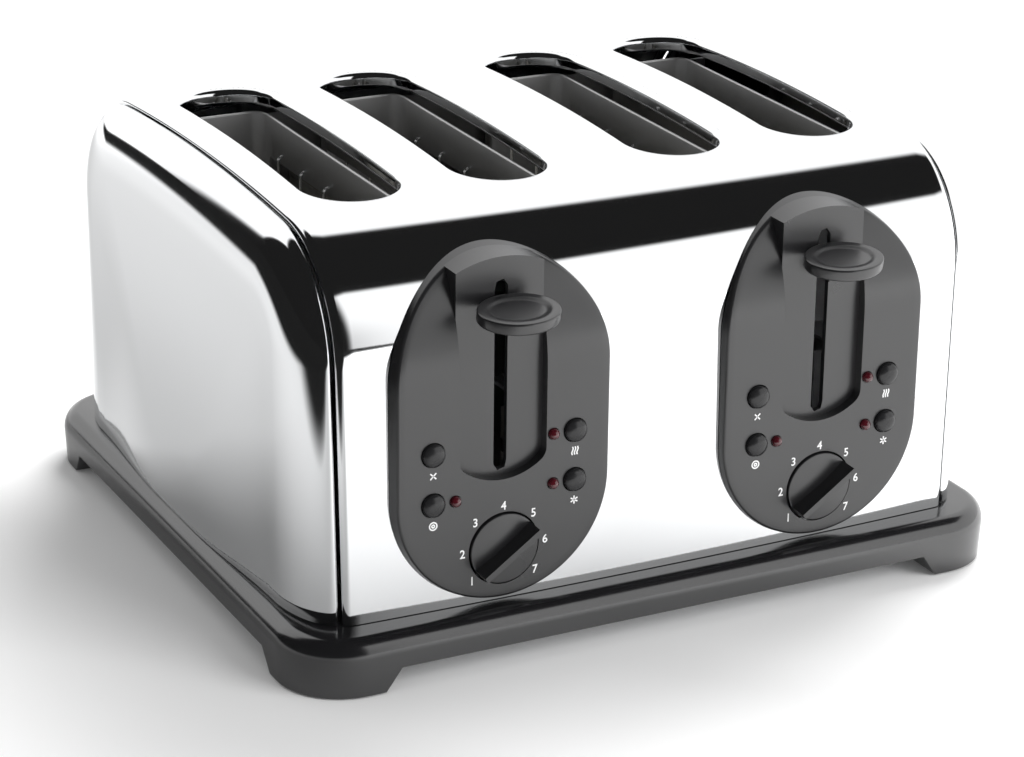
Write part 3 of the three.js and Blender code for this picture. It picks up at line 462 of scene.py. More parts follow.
def mapped_grid(across, along, place):
    """A grid whose points are put in place from their shares, 0 to 1, across and along."""
    bm = bmesh.new()
    made = bmesh.ops.create_grid(bm, x_segments=across, y_segments=along, size=0.5)
    for vert in made["verts"]:
        vert.co = place(vert.co.x + 0.5, vert.co.y + 0.5)
    return bm


def prism(points, move):
    """A closed prism: an outline pushed along one way."""
    bm = bmesh.new()
    face = bm.faces.new([bm.verts.new(point) for point in points])
    made = bmesh.ops.extrude_face_region(bm, geom=[face])["geom"]
    bmesh.ops.translate(bm, verts=[part for part in made if isinstance(part, bmesh.types.BMVert)], vec=move)
    return closed(bm)


def forward_prism(outline, front_y, back_y):
    """A prism along Y from places of x and z."""
    return prism([Vector((x, front_y, z)) for x, z in outline], Vector((0, back_y - front_y, 0)))


def box(x0, x1, y0, y1, z0, z1):
    return forward_prism([(x0, z0), (x1, z0), (x1, z1), (x0, z1)], y0, y1)


def circle(x, z, radius, steps=40):
    turns = [2 * math.pi * i / steps for i in range(steps)]
    return [(x + radius * math.cos(turn), z + radius * math.sin(turn)) for turn in turns]


def turned(profile, centre, steps=48):
    """A closed shape turned round an axis along Y, from places of radius and height towards the front."""
    bm = bmesh.new()
    chain = [bm.verts.new(centre + Vector((radius, -height, 0))) for radius, height in profile]
    edges = [bm.edges.new(pair) for pair in zip(chain, chain[1:])]
    bmesh.ops.spin(bm, geom=[*chain, *edges], cent=centre, axis=(0, 1, 0), angle=2 * math.pi,
                   steps=steps, use_merge=True)
    return closed(bm)


def stadium_at(share, radius, straight):
    """Place and outward way on an upright stadium, a share of the way round, with its middle at zero."""
    arc = math.pi * radius
    side = 2 * straight
    run = (share % 1) * 2 * (arc + side)
    sign = 1
    if run > arc + side:
        run -= arc + side
        sign = -1
    if run < arc:
        out = Vector((math.cos(run / radius), math.sin(run / radius)))
        place = out * radius + Vector((0, straight))
    else:
        out = Vector((-1, 0))
        place = Vector((-radius, straight - (run - arc)))
    return place * sign, out * sign


def stadium(radius, straight, steps=160):
    return [stadium_at(i / steps, radius, straight)[0] for i in range(steps)]


def rounded_at(share, half_x, half_y, radius):
    """Place and outward way on a rounded rectangle, with an eighth of the shares for each corner and side."""
    signs = [(1, 1), (-1, 1), (-1, -1), (1, -1), (1, 1)]
    eighth = (share % 1) * 8
    turn = int(eighth // 2)
    part = eighth - 2 * turn
    centres = [Vector((sx * (half_x - radius), sy * (half_y - radius))) for sx, sy in signs]
    angle = (turn + min(part, 1)) * quarter
    out = Vector((math.cos(angle), math.sin(angle)))
    centre = centres[turn].lerp(centres[turn + 1], max(part - 1, 0))
    return centre + out * radius, out


def carved(bm, *steps):
    """A closed shape after a row of joins and cuts, each a pair of an operation and a closed shape."""
    made = []
    for shape in [bm, *[tool for _, tool in steps]]:
        mesh = bpy.data.meshes.new("work")
        shape.to_mesh(mesh)
        shape.free()
        made.append(bpy.data.objects.new("work", mesh))
        bpy.context.scene.collection.objects.link(made[-1])
    for (operation, _), tool in zip(steps, made[1:]):
        step = made[0].modifiers.new("step", "BOOLEAN")
        step.operation = operation
        step.solver = "EXACT"
        step.object = tool
    result = bmesh.new()
    result.from_object(made[0], bpy.context.evaluated_depsgraph_get())
    for piece in made:
        mesh = piece.data
        bpy.data.objects.remove(piece)
        bpy.data.meshes.remove(mesh)
    return result


def thickened(bm, thickness):
    """An open sheet with its wall behind it, as a closed shape."""
    mesh = bpy.data.meshes.new("work")
    bm.to_mesh(mesh)
    bm.free()
    work = bpy.data.objects.new("work", mesh)
    bpy.context.scene.collection.objects.link(work)
    add_wall(work, thickness)
    result = bmesh.new()
    result.from_object(work, bpy.context.evaluated_depsgraph_get())
    bpy.data.objects.remove(work)
    bpy.data.meshes.remove(mesh)
    return result


def shifted(bm, x=0.0, y=0.0, z=0.0):
    bmesh.ops.translate(bm, verts=bm.verts, vec=(x, y, z))
    return bm


def gather(bm, part):
    """Adds one mesh to another."""
    mesh = bpy.data.meshes.new("work")
    part.to_mesh(mesh)
    part.free()
    bm.from_mesh(mesh)
    bpy.data.meshes.remove(mesh)


# Pieces
def finish_piece(bm, name, look, body, replaced=(), smooth_angle=35):
    """Makes an object of a mesh, gives it its look, and seats it on its body."""
    mesh = bpy.data.meshes.new(name)
    bm.to_mesh(mesh)
    bm.free()
    mesh.polygons.foreach_set("use_smooth", [True] * len(mesh.polygons))
    mesh.set_sharp_from_angle(angle=math.radians(smooth_angle))
    piece = bpy.data.objects.new(name, mesh)
    bpy.context.scene.collection.objects.link(piece)
    piece.data.materials.append(looks[look])
    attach(piece, body)
    if replaced:
        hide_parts(*replaced)
    return piece


def add_wall(piece, thickness, even=True):
    wall = piece.modifiers.new("wall", "SOLIDIFY")
    wall.thickness = thickness
    wall.offset = -1
    wall.use_even_offset = even


def add_bevel(piece, width, segments=2, angle=35):
    edge = piece.modifiers.new("edge", "BEVEL")
    edge.width = width
    edge.segments = segments
    edge.limit_method = "ANGLE"
    edge.angle_limit = math.radians(angle)
    edge.use_clamp_overlap = True
    edge.miter_outer = "MITER_ARC"
    edge.harden_normals = True


# Body section: points from the front foot over the top to the back foot, each with its slope angle
def body_section():
    arc_ends = hip_half_depth - shoulder_radius * math.sin(wall_angle)
    crown_angle = math.asin(arc_ends / (crown_radius - shoulder_radius))
    arcs = [(crown_radius, 0, crown_angle, 24), (shoulder_radius, crown_angle, wall_angle, 48)]
    half = [(0, body_top_z, 0)]
    for radius, start, end, steps in arcs:
        y0, z0, _ = half[-1]
        for i in range(1, steps + 1):
            angle = start + (end - start) * i / steps
            y = y0 + radius * (math.sin(angle) - math.sin(start))
            half.append((y, z0 - radius * (math.cos(start) - math.cos(angle)), angle))
    y0, z0, _ = half[-1]
    wall_steps = 20
    for i in range(1, wall_steps + 1):
        z = z0 + (body_foot_z - z0) * i / wall_steps
        half.append((y0 + (z0 - z) / math.tan(wall_angle), z, wall_angle))
    return [(-y, z, -angle) for y, z, angle in half[:0:-1]] + half


section = body_section()


def bowed(x, y):
    """A depth at a place across, where the walls bow outwards towards the middle."""
    return y * (1 + wall_bow_share * (1 - (x / bow_half_width) ** 2))


def lean_at(z):
    """How far each end of the wrap leans in towards the middle at a height."""
    return wrap_lean * (body_top_z - z) / (body_top_z - body_foot_z)


def wrap_place(x, row, offset=0.0):
    """A point of the wrap at a row of its section, moved outwards by an offset."""
    y, z, angle = section[row]
    lift = offset * math.cos(angle) if 0 < row < len(section) - 1 else 0
    leant_x = x * (1 - lean_at(z) / bow_half_width)
    return Vector((leant_x, mid_y + bowed(x, y + offset * math.sin(angle)), z + lift))


def wrap_columns():
    """Places across the wrap from end to end, each with its drop: both ends roll down to the side covers."""
    roll_steps = 8
    flat_steps = 66
    flat_half = wrap_half_width - wrap_roll
    roll = []
    for i in range(1, roll_steps + 1):
        turn = quarter * i / roll_steps
        roll.append((flat_half + wrap_roll * math.sin(turn), wrap_roll * (1 - math.cos(turn))))
    roll.append((wrap_half_width, wrap_roll + sheet))
    flat = [(flat_half * (2 * i / flat_steps - 1), 0) for i in range(flat_steps + 1)]
    return [(-x, drop) for x, drop in reversed(roll)] + flat + roll


def body_solid(offset, half_width, sink):
    """Everything inside the body's surface, grown by an offset and running below its foot."""
    last = len(section) - 1
    rows = last + 3

    def place(u, w):
        row = round(w * rows) % rows
        point = wrap_place((2 * u - 1) * half_width, min(max(row - 1, 0), last), offset)
        if row in (0, last + 2):
            point.z -= sink
        return point

    return capped(mapped_grid(24, rows, place))


def crown_place(x, y):
    """Height and slope of the body's surface over a place on its top."""
    depth = y - mid_y
    before = max(i for i in range(len(section) - 1) if bowed(x, section[i][0]) <= depth)
    (y0, z0, a0), (y1, z1, a1) = section[before], section[before + 1]
    part = (depth - bowed(x, y0)) / (bowed(x, y1) - bowed(x, y0))
    return z0 + (z1 - z0) * part, a0 + (a1 - a0) * part


slot_centres = {f"{hand}_{place}": side * pair_x + sign * slot_x
                for hand, side in hands.items() for place, sign in (("a", -1), ("b", 1))}


def oval_prism(inset, front_y, back_y):
    outline = stadium(panel_half_width - inset, panel_straight, 192)
    return forward_prism([(p.x, panel_mid_z + p.y) for p in outline], front_y, back_y)


def add_wrap():
    columns = wrap_columns()
    last = len(section) - 1

    def place(u, w):
        x, drop = columns[round(u * (len(columns) - 1))]
        return wrap_place(x, round(w * last), -drop)

    skin = mapped_grid(len(columns) - 1, last, place)
    bmesh.ops.recalc_face_normals(skin, faces=skin.faces)
    cuts = []
    below = 40 * mm
    through = 60 * mm
    for x in slot_centres.values():
        outline = stadium(slot_radius + lip_roll, slot_straight)
        points = [Vector((x + p.x, slot_mid_y + p.y, body_top_z - below)) for p in outline]
        cuts.append(("DIFFERENCE", prism(points, Vector((0, 0, through)))))
    for side in hands.values():
        window = shifted(oval_prism(panel_window_inset, panel_face_y - below, mid_y - through), x=side * pair_x)
        cuts.append(("DIFFERENCE", window))
    gland = circle(middle("cord_gland", 0), middle("cord_gland", 2), gland_hole)
    cuts.append(("DIFFERENCE", forward_prism(gland, mid_y, mid_y + base_half_depth)))
    bm = carved(thickened(skin, sheet), *cuts)
    finish_piece(bm, "wrap", "chrome", "housing", replaced=("wrap_cover",), smooth_angle=30)


def add_lip(name, x):
    """The rolled edge of a bread slot: a quarter round that leaves the wrap's surface, then a short wall."""
    roll_steps = 8
    wall_steps = 3
    rows = roll_steps + wall_steps

    def place(u, w):
        flat, out = stadium_at(u, slot_radius + lip_roll, slot_straight)
        y = slot_mid_y + flat.y
        z, slope = crown_place(x + flat.x, y)
        up = Vector((0, math.sin(slope), math.cos(slope)))
        inwards = Vector((-out.x, -out.y, 0))
        inwards = (inwards - up * inwards.dot(up)).normalized()
        row = round(w * rows)
        turn = (quarter + math.asin(inwards.z)) * min(row / roll_steps, 1)
        point = Vector((x + flat.x, y, z)) + up * lip_roll * (math.cos(turn) - 1)
        point += inwards * lip_roll * math.sin(turn)
        point.z -= (lip_depth - lip_roll) * max(row - roll_steps, 0) / wall_steps
        return point

    bm = mapped_grid(200, rows, place)
    bmesh.ops.remove_doubles(bm, verts=bm.verts, dist=0.001 * mm)
    bmesh.ops.recalc_face_normals(bm, faces=bm.faces)
    top = max(bm.faces, key=lambda face: face.calc_center_median().z)
    if top.normal.z < 0:
        bmesh.ops.reverse_faces(bm, faces=bm.faces)
    add_wall(finish_piece(bm, f"slot_lip_{name}", "chrome", "housing"), lip_wall)


def add_side_cover(hand, side):
    """A domed cover: the section at the seam, drawn in over an elliptical rim to a bowed face."""
    rim_steps = 20
    face_steps = 24
    rows = rim_steps + face_steps
    last = len(section) - 1

    def place(u, w):
        at = round(u * last)
        y, z, angle = section[at]
        row = round(w * rows)
        turn = quarter * min(row / rim_steps, 1)
        inset = wrap_roll + cover_rim * (1 - math.cos(turn))
        share = 1 - (1 - max(row - rim_steps, 0) / face_steps) ** 2
        swell = min(share / cover_flat_share, 1)
        x = cover_seam_x - lean_at(z) * math.cos(turn)
        x += cover_depth * math.sin(turn) + cover_bow * (1 - math.cos(swell * math.pi)) / 2
        y -= math.sin(angle) * inset
        if 0 < at < last:
            z -= math.cos(angle) * inset
        return Vector((side * x, mid_y + y * (1 - share), z + (body_foot_z - z) * share))

    bm = mapped_grid(last, rows, place)
    bmesh.ops.remove_doubles(bm, verts=bm.verts, dist=0.001 * mm)
    bmesh.ops.dissolve_degenerate(bm, edges=bm.edges, dist=0.001 * mm)
    bmesh.ops.recalc_face_normals(bm, faces=bm.faces)
    outermost = max(bm.faces, key=lambda face: face.calc_center_median().x * side)
    if outermost.normal.x * side < 0:
        bmesh.ops.reverse_faces(bm, faces=bm.faces)
    cover = finish_piece(bm, f"domed_cover_{hand}", "chrome", "housing", replaced=(f"side_cover_{hand}",))
    add_wall(cover, sheet, even=False)


def ring_solid(levels):
    """A closed shape of the base's rounded outline, from pairs of inset and height, with flat ends."""
    def place(u, w):
        inset, z = levels[round(w * (len(levels) - 1))]
        flat, out = rounded_at(u, base_half_width, base_half_depth, base_corner)
        flat -= out * inset
        return Vector((flat.x, mid_y + flat.y, z))

    return capped(mapped_grid(128, len(levels) - 1, place))


def base_outside():
    roll_steps = 12
    levels = [(base_draft, base_foot_z)]
    for i in range(roll_steps + 1):
        turn = quarter * i / roll_steps
        levels.append((base_roll_inset * (1 - math.cos(turn)), base_top_z - base_roll_height * (1 - math.sin(turn))))
    return ring_solid(levels)


door_inner_y = mid_y + base_half_depth - base_wall - base_draft


def tray_doorway(hand, margin):
    low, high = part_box(f"crumb_tray_{hand}")
    over = 30 * mm
    return box(low.x - margin, high.x + margin, door_inner_y - margin, mid_y + base_half_depth + over,
               low.z - margin, high.z + margin)


def add_base():
    over = 30 * mm
    wall_inset = base_wall + base_draft
    cuts = [("DIFFERENCE", ring_solid([(wall_inset, apron_z), (wall_inset, base_top_z - base_wall)])),
            ("DIFFERENCE", ring_solid([(base_ledge, apron_z), (base_ledge, base_top_z + over)]))]
    for half_length, reach, across in ((base_half_depth, base_half_width, "x"),
                                       (base_half_width, base_half_depth, "y")):
        half = half_length - foot_length
        reach += over
        outline = [(-half + foot_chamfer, apron_z), (-half, 0), (-half, -over), (half, -over), (half, 0),
                   (half - foot_chamfer, apron_z)]
        if across == "x":
            arch = prism([Vector((-reach, mid_y + v, z)) for v, z in outline], Vector((2 * reach, 0, 0)))
        else:
            arch = prism([Vector((v, mid_y - reach, z)) for v, z in outline], Vector((0, 2 * reach, 0)))
        cuts.append(("DIFFERENCE", arch))
    for foot in ("left_front", "left_back", "right_front", "right_back"):
        pad = circle(middle(f"rubber_foot_{foot}", 0), middle(f"rubber_foot_{foot}", 1), pad_radius)
        cuts.append(("DIFFERENCE", prism([Vector((x, y, 0)) for x, y in pad], Vector((0, 0, pad_depth)))))
    for hand in hands:
        cuts.append(("DIFFERENCE", tray_doorway(hand, door_gap)))
    bm = carved(base_outside(), *cuts)
    piece = finish_piece(bm, "base_moulding", "satin_black", "housing", ("base_frame",))
    add_bevel(piece, 0.5 * mm)


def add_crumb_tray(hand, side):
    node = f"crumb_tray_{hand}"
    low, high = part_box(node)
    door = carved(base_outside(), ("INTERSECT", tray_doorway(hand, 0)))
    add_bevel(finish_piece(door, f"tray_door_{hand}", "satin_black", node), 0.4 * mm)
    left, right = side * pair_x - tray_half_width, side * pair_x + tray_half_width
    pan = box(left, right, low.y, door_inner_y, tray_deck_z, high.z)
    hollow = box(left + tray_wall, right - tray_wall, low.y + tray_wall, door_inner_y - tray_wall,
                 tray_deck_z + tray_wall, high.z + tray_deck_z)
    piece = finish_piece(carved(pan, ("DIFFERENCE", hollow)), f"tray_pan_{hand}", "steel", node, replaced=(node,))
    add_bevel(piece, 0.3 * mm, 1)


# Control panels
def face_y(z):
    """Where the panel's leaning face stands at a height."""
    lean = max(z - panel_bend_z, 0)
    return panel_face_y + panel_bend_radius - math.sqrt(panel_bend_radius ** 2 - lean ** 2)


def panel_pebble(inset, depth, back_y, edge):
    """A closed oval whose front follows the leaning face, with a rounded front edge and flared walls."""
    half = panel_half_width - inset
    round_steps = 4
    face_steps = 16
    levels = [(half, None), (half / 2, None), (-panel_flare, None), (-panel_flare, panel_flare_depth), (0, edge)]
    for i in range(1, round_steps + 1):
        turn = quarter * i / round_steps
        levels.append((edge * (1 - math.cos(turn)), edge * (1 - math.sin(turn))))
    for i in range(1, face_steps + 1):
        levels.append((edge + (half - edge) * i / face_steps, 0))

    def place(u, w):
        drawn_in, sunk = levels[round(w * (len(levels) - 1))]
        flat, out = stadium_at(u, half, panel_straight)
        flat -= out * drawn_in
        z = panel_mid_z + flat.y
        return Vector((flat.x, back_y if sunk is None else face_y(z) + depth + sunk, z))

    return closed(mapped_grid(192, len(levels) - 1, place))


def channel_outline(grow):
    """Upright sides that turn through rounded corners into a bowed foot."""
    half = channel_half_width + grow
    radius = channel_foot_radius + grow
    corner = channel_corner + grow
    foot_middle = channel_foot_z + channel_foot_radius
    corner_x = half - corner
    corner_drop = math.sqrt((radius - corner) ** 2 - corner_x ** 2)
    corner_turn = math.atan2(corner_drop, corner_x)
    corner_steps = 8
    foot_steps = 24
    side = [(half, body_top_z)]
    for i in range(corner_steps + 1):
        angle = -corner_turn * i / corner_steps
        side.append((corner_x + corner * math.cos(angle), foot_middle - corner_drop + corner * math.sin(angle)))
    foot = []
    for i in range(1, foot_steps):
        angle = -corner_turn - (math.pi - 2 * corner_turn) * i / foot_steps
        foot.append((radius * math.cos(angle), foot_middle + radius * math.sin(angle)))
    points = side + foot + [(-x, z) for x, z in reversed(side)]
    return [(channel_mid_x + x, z) for x, z in points]


def panel_blank(inset, back_y):
    """The panel's outer or inner form: a leaning oval with a flat channel that sinks below and stands above."""
    far_y = panel_face_y - 20 * mm
    step = 0.002 * mm
    flat_y = channel_y + inset
    hood = carved(oval_prism(inset + step, far_y, back_y),
                  ("INTERSECT", forward_prism(channel_outline(-inset - step), flat_y - step, back_y - step)))
    pebble = panel_pebble(inset, inset, back_y, max(panel_round - inset, step))
    return carved(pebble, ("DIFFERENCE", forward_prism(channel_outline(inset), far_y, flat_y)), ("UNION", hood))


def add_panel(hand, side):
    far_y = panel_face_y - 20 * mm
    back_y = mid_y - 55 * mm
    behind_y = mid_y - 45 * mm
    lever_mid = (lever_slot_high_z + lever_slot_low_z) / 2
    lever = stadium(lever_slot_half_width, lever_slot_high_z - lever_mid - lever_slot_half_width, 48)
    body = shifted(body_solid(0.3 * mm, 134 * mm, 20 * mm), x=-side * pair_x)
    rest_of_body = carved(body, ("DIFFERENCE", oval_prism(panel_window_inset, far_y, mid_y + 10 * mm)))
    holes = [[(p.x, lever_mid + p.y) for p in lever], circle(0, knob_z, knob_hole, 72)]
    holes += [circle(sign * button_x, button_zs[level], button_hole) for sign, level in buttons.values()]
    holes += [circle(sign * lamp_x, button_zs[level], lamp_hole, 24) for sign, level in lamps.values()]
    steps = [("DIFFERENCE", panel_blank(panel_wall, behind_y)), ("DIFFERENCE", rest_of_body)]
    steps += [("DIFFERENCE", forward_prism(hole, far_y, behind_y)) for hole in holes]
    bm = shifted(carved(panel_blank(0, back_y), *steps), x=side * pair_x)
    piece = finish_piece(bm, f"panel_{hand}", "black_plastic", "housing", replaced=(f"control_panel_{hand}",))
    add_bevel(piece, 0.35 * mm)


# Controls
def dome_profile(radius, depth, rise, crown, edge=None):
    """Profile of a dome from the middle of its back: a shallow one with a rounded edge, or a full one."""
    steps = 10
    profile = [(0, -depth), (radius, -depth)]
    if edge:
        for i in range(steps // 2 + 1):
            turn = quarter * i / (steps // 2)
            profile.append((radius - edge * (1 - math.cos(turn)), rise - edge * (1 - math.sin(turn))))
        profile += [((radius - edge) * i / steps, rise + crown * (1 - (i / steps) ** 2))
                    for i in range(steps - 1, -1, -1)]
    else:
        for i in range(steps, -1, -1):
            turn = quarter * i / steps
            profile.append((radius * math.sin(turn), rise + crown * math.cos(turn)))
    return profile


def add_knob(hand, side):
    node = f"knob_{hand}"
    centre = Vector((0, 0, 0))
    dome = turned(dome_profile(knob_radius, knob_depth, knob_rise, knob_crown, knob_round), centre, 96)
    flank_steps = 14
    flank = []
    for i in range(flank_steps + 1):
        high = 1 - i / flank_steps
        wide = 1 + ridge_flare_share * (1 - high) ** ridge_flare_power
        flank.append((ridge_half_width * wide, -ridge_height * high))
    outline = [*flank, *[(-v, y) for v, y in reversed(flank)]]
    reach = knob_radius + knob_crown
    ridge = prism([Vector((-reach, y, v)) for v, y in outline], Vector((2 * reach, 0, 0)))
    trim = 0.15 * mm
    limit = forward_prism(circle(0, 0, knob_radius - trim, 96), -ridge_height - knob_crown, knob_rise)
    ridge = carved(ridge, ("INTERSECT", limit))
    bmesh.ops.rotate(ridge, verts=ridge.verts, cent=centre, matrix=Matrix.Rotation(-pointer_angle, 3, "Y"))
    shaft_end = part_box(node)[1].y - panel_face_y
    shaft = forward_prism(circle(0, 0, shaft_radius), knob_depth - knob_round, shaft_end)
    bm = shifted(carved(dome, ("UNION", ridge), ("UNION", shaft)), side * pair_x, panel_face_y, knob_z)
    piece = finish_piece(bm, f"dial_{hand}", "black_plastic", f"browning_{hand}", replaced=(node,))
    add_bevel(piece, 0.3 * mm, 3, 40)


def add_button(hand, side, name):
    sign, level = buttons[name]
    profile = dome_profile(button_radius, button_depth, button_rise, button_crown)
    centre = Vector((side * pair_x + sign * button_x, panel_face_y, button_zs[level]))
    node = f"button_{name}_{hand}"
    finish_piece(turned(profile, centre), f"push_{name}_{hand}", "gloss_button", node, replaced=(node,))


def add_lamp(hand, side, name):
    sign, level = lamps[name]
    node = f"lamp_lens_{name}_{hand}"
    profile = dome_profile(lamp_radius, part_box(node)[1].y - panel_face_y, lamp_rise, lamp_radius)
    centre = Vector((side * pair_x + sign * lamp_x, panel_face_y, button_zs[level]))
    finish_piece(turned(profile, centre, 32), f"lamp_{name}_{hand}", "lamp_red", "housing", replaced=(node,))


def add_paddle(hand, side):
    """An oval thumb pad with a raised rim round a dished top, on a socketed neck."""
    half = paddle_half_height
    round_steps = 5
    dish_steps = 8
    levels = [(paddle_half_depth, -half), (paddle_half_depth / 2, -half)]
    for i in range(round_steps + 1):
        turn = quarter * i / round_steps
        levels.append((paddle_round * (1 - math.sin(turn)), -half + paddle_round * (1 - math.cos(turn))))
    for i in range(round_steps + 1):
        turn = quarter * i / round_steps
        levels.append((paddle_lip_round * (1 - math.cos(turn)), half - paddle_lip_round * (1 - math.sin(turn))))
    for i in range(dish_steps + 1):
        share = i / dish_steps
        drop = paddle_dish * (1 - math.cos(share * math.pi)) / 2
        levels.append((paddle_rim + (paddle_slope - paddle_rim) * share, half - drop))
    levels.append((paddle_half_depth, half - paddle_dish))

    def place(u, w):
        inset, z = levels[round(w * (len(levels) - 1))]
        turn = 2 * math.pi * u
        share = 1 - inset / paddle_half_depth
        reach_x = min(paddle_half_width - inset, paddle_half_width * share * 2)
        return Vector((reach_x * math.cos(turn), paddle_half_depth * share * math.sin(turn), z))

    pad = closed(mapped_grid(96, len(levels) - 1, place))
    bmesh.ops.rotate(pad, verts=pad.verts, cent=(0, 0, 0), matrix=Matrix.Rotation(paddle_tilt, 3, "X"))
    pad = shifted(pad, *paddle_place)
    clear = stem_clearance
    neck_wall = neck_half_width - stem_half_width - clear
    neck = box(-neck_half_width, neck_half_width, stem_reach_y - neck_wall, channel_y - clear,
               stem_foot_z - neck_wall, paddle_place.z)
    socket = box(-stem_half_width - clear, stem_half_width + clear, stem_reach_y - clear, mid_y,
                 stem_foot_z - clear, stem_foot_z + stem_height + clear)
    bm = shifted(carved(pad, ("UNION", neck), ("DIFFERENCE", socket)), x=side * pair_x)
    piece = finish_piece(bm, f"paddle_{hand}", "black_plastic", f"lift_{hand}", replaced=(f"lever_paddle_{hand}",))
    add_bevel(piece, 0.3 * mm, 2, 50)


# Bread wells: a rounded tube with a rolled rim, side windows and bent guard wires
def add_well(name, x):
    bead_steps = 8
    levels = [(0, well_foot_z), (0, slit_low_z), (0, window_foot_z), (0, slit_high_z), (0, window_top_z),
              (0, well_top_z - well_bead)]
    for i in range(1, bead_steps + 1):
        turn = math.pi * (1 - i / bead_steps)
        levels.append((well_bead * (1 + math.cos(turn)), well_top_z - well_bead * (1 - math.sin(turn))))

    def place(u, w):
        grow, z = levels[round(w * (len(levels) - 1))]
        flat, out = rounded_at(u, well_half_width, well_half_length, well_corner)
        flat += out * grow
        return Vector((x + flat.x, slot_mid_y + flat.y, z))

    bm = mapped_grid(96, len(levels) - 1, place)
    bmesh.ops.remove_doubles(bm, verts=bm.verts, dist=0.001 * mm)
    window_reach = well_half_length - window_margin
    for sign in (-1, 1):
        for centre, normal in (((x, slot_mid_y + sign * window_reach, 0), (0, 1, 0)),
                               ((x + sign * slit_half_width, 0, 0), (1, 0, 0))):
            bmesh.ops.bisect_plane(bm, geom=[*bm.verts, *bm.edges, *bm.faces], plane_co=centre, plane_no=normal)
    openings = []
    for face in bm.faces:
        at = face.calc_center_median()
        in_window = abs(at.y - slot_mid_y) < window_reach and window_foot_z < at.z < window_top_z
        in_slit = abs(at.x - x) < slit_half_width and at.y < slot_mid_y and slit_low_z < at.z < slit_high_z
        if in_window or in_slit:
            openings.append(face)
    bmesh.ops.delete(bm, geom=openings, context="FACES")
    bmesh.ops.recalc_face_normals(bm, faces=bm.faces)
    lowest = min(bm.faces, key=lambda face: face.calc_center_median().z)
    outwards = lowest.calc_center_median() - Vector((x, slot_mid_y, 0))
    if lowest.normal.x * outwards.x + lowest.normal.y * outwards.y > 0:
        bmesh.ops.reverse_faces(bm, faces=bm.faces)
    piece = finish_piece(bm, f"well_{name}", "well_steel", "housing", (f"bread_well_{name}",))
    add_wall(piece, well_wall)


def wire(path, radius, sides=8):
    """A closed round wire along a path that stays in one plane across Y."""
    across = Vector((0, 1, 0))

    def place(u, w):
        i = round(w * (len(path) - 1))
        ahead = (path[min(i + 1, len(path) - 1)] - path[max(i - 1, 0)]).normalized()
        turn = 2 * math.pi * u
        return path[i] + (across * math.cos(turn) + ahead.cross(across) * math.sin(turn)) * radius

    return capped(mapped_grid(sides, len(path) - 1, place))


def add_guards(name, x):
    """Guard wires: each leaves the well's wall above the window, drops in front of it and goes back below."""
    bm = bmesh.new()
    bend_steps = 6
    for side in (-1, 1):
        wall_x = x + side * (well_half_width + well_wall / 2)
        wire_x = x + side * (well_half_width - guard_inset)
        for i in range(guard_count):
            y = slot_mid_y + (i - (guard_count - 1) / 2) * guard_pitch
            bends = []
            for sign, height in ((1, window_top_z + guard_reach), (-1, window_foot_z - guard_reach)):
                turns = [quarter * k / bend_steps for k in range(bend_steps + 1)][::sign]
                bends += [Vector((wire_x + side * guard_bend * (1 - math.sin(turn)), y,
                                  height - sign * guard_bend * (1 - math.cos(turn)))) for turn in turns]
            path = [Vector((wall_x, y, bends[0].z)), *bends, Vector((wall_x, y, bends[-1].z))]
            gather(bm, wire(path, guard_radius))
    finish_piece(bm, f"guards_{name}", "spring_steel", "housing")


# Printed marks on the panels
def add_digits(hand, side):
    """The plain numbers 1 to 7 round the browning dial."""
    bm = bmesh.new()
    for number, angle in enumerate(digit_angles, 1):
        text = bpy.data.curves.new("digit", "FONT")
        text.body = str(number)
        text.size = digit_height / 0.7
        text.extrude = mark_thickness / 2
        text.offset = digit_swell
        letter = bpy.data.objects.new("digit", text)
        bpy.context.scene.collection.objects.link(letter)
        mesh = bpy.data.meshes.new_from_object(letter.evaluated_get(bpy.context.evaluated_depsgraph_get()))
        xs = [vert.co.x for vert in mesh.vertices]
        ys = [vert.co.y for vert in mesh.vertices]
        centred = Matrix.Translation((-(min(xs) + max(xs)) / 2, -(min(ys) + max(ys)) / 2, 0))
        narrow = Matrix.Diagonal((0.9, digit_height / (max(ys) - min(ys)), 1, 1))
        turn = math.radians(angle)
        place = Vector((side * pair_x + digit_radius * math.cos(turn), panel_face_y - mark_bed,
                        knob_z + digit_radius * math.sin(turn)))
        mesh.transform(Matrix.Translation(place) @ Matrix.Rotation(quarter, 4, "X") @ narrow @ centred)
        bm.from_mesh(mesh)
        bpy.data.objects.remove(letter)
        bpy.data.curves.remove(text)
        bpy.data.meshes.remove(mesh)
    finish_piece(closed(bm), f"dial_numbers_{hand}", "printed_white", "housing")


def stroke(points, centre):
    """A printed line of even width through places of x and z round a centre."""
    half = mark_stroke / 2

    def place(u, w):
        i = round(u * (len(points) - 1))
        ahead = (Vector(points[min(i + 1, len(points) - 1)]) - Vector(points[max(i - 1, 0)])).normalized()
        flat = Vector(points[i]) + Vector((-ahead.y, ahead.x)) * half * (2 * w - 1)
        return centre + Vector((flat.x, 0, flat.y))

    line = mapped_grid(len(points) - 1, 1, place)
    made = bmesh.ops.extrude_face_region(line, geom=line.faces[:])["geom"]
    raised = [part for part in made if isinstance(part, bmesh.types.BMVert)]
    bmesh.ops.translate(line, verts=raised, vec=(0, -mark_thickness, 0))
    return closed(line)


def mark_cross(size):
    reach = size * 0.36
    return [[(-reach, -reach), (reach, reach)], [(-reach, reach), (reach, -reach)]]


def mark_ring(size):
    steps = 28
    turns = [2 * math.pi * i / steps for i in range(steps + 1)]
    return [[(size * share * math.cos(turn), size * share * math.sin(turn)) for turn in turns]
            for share in (0.46, 0.17)]


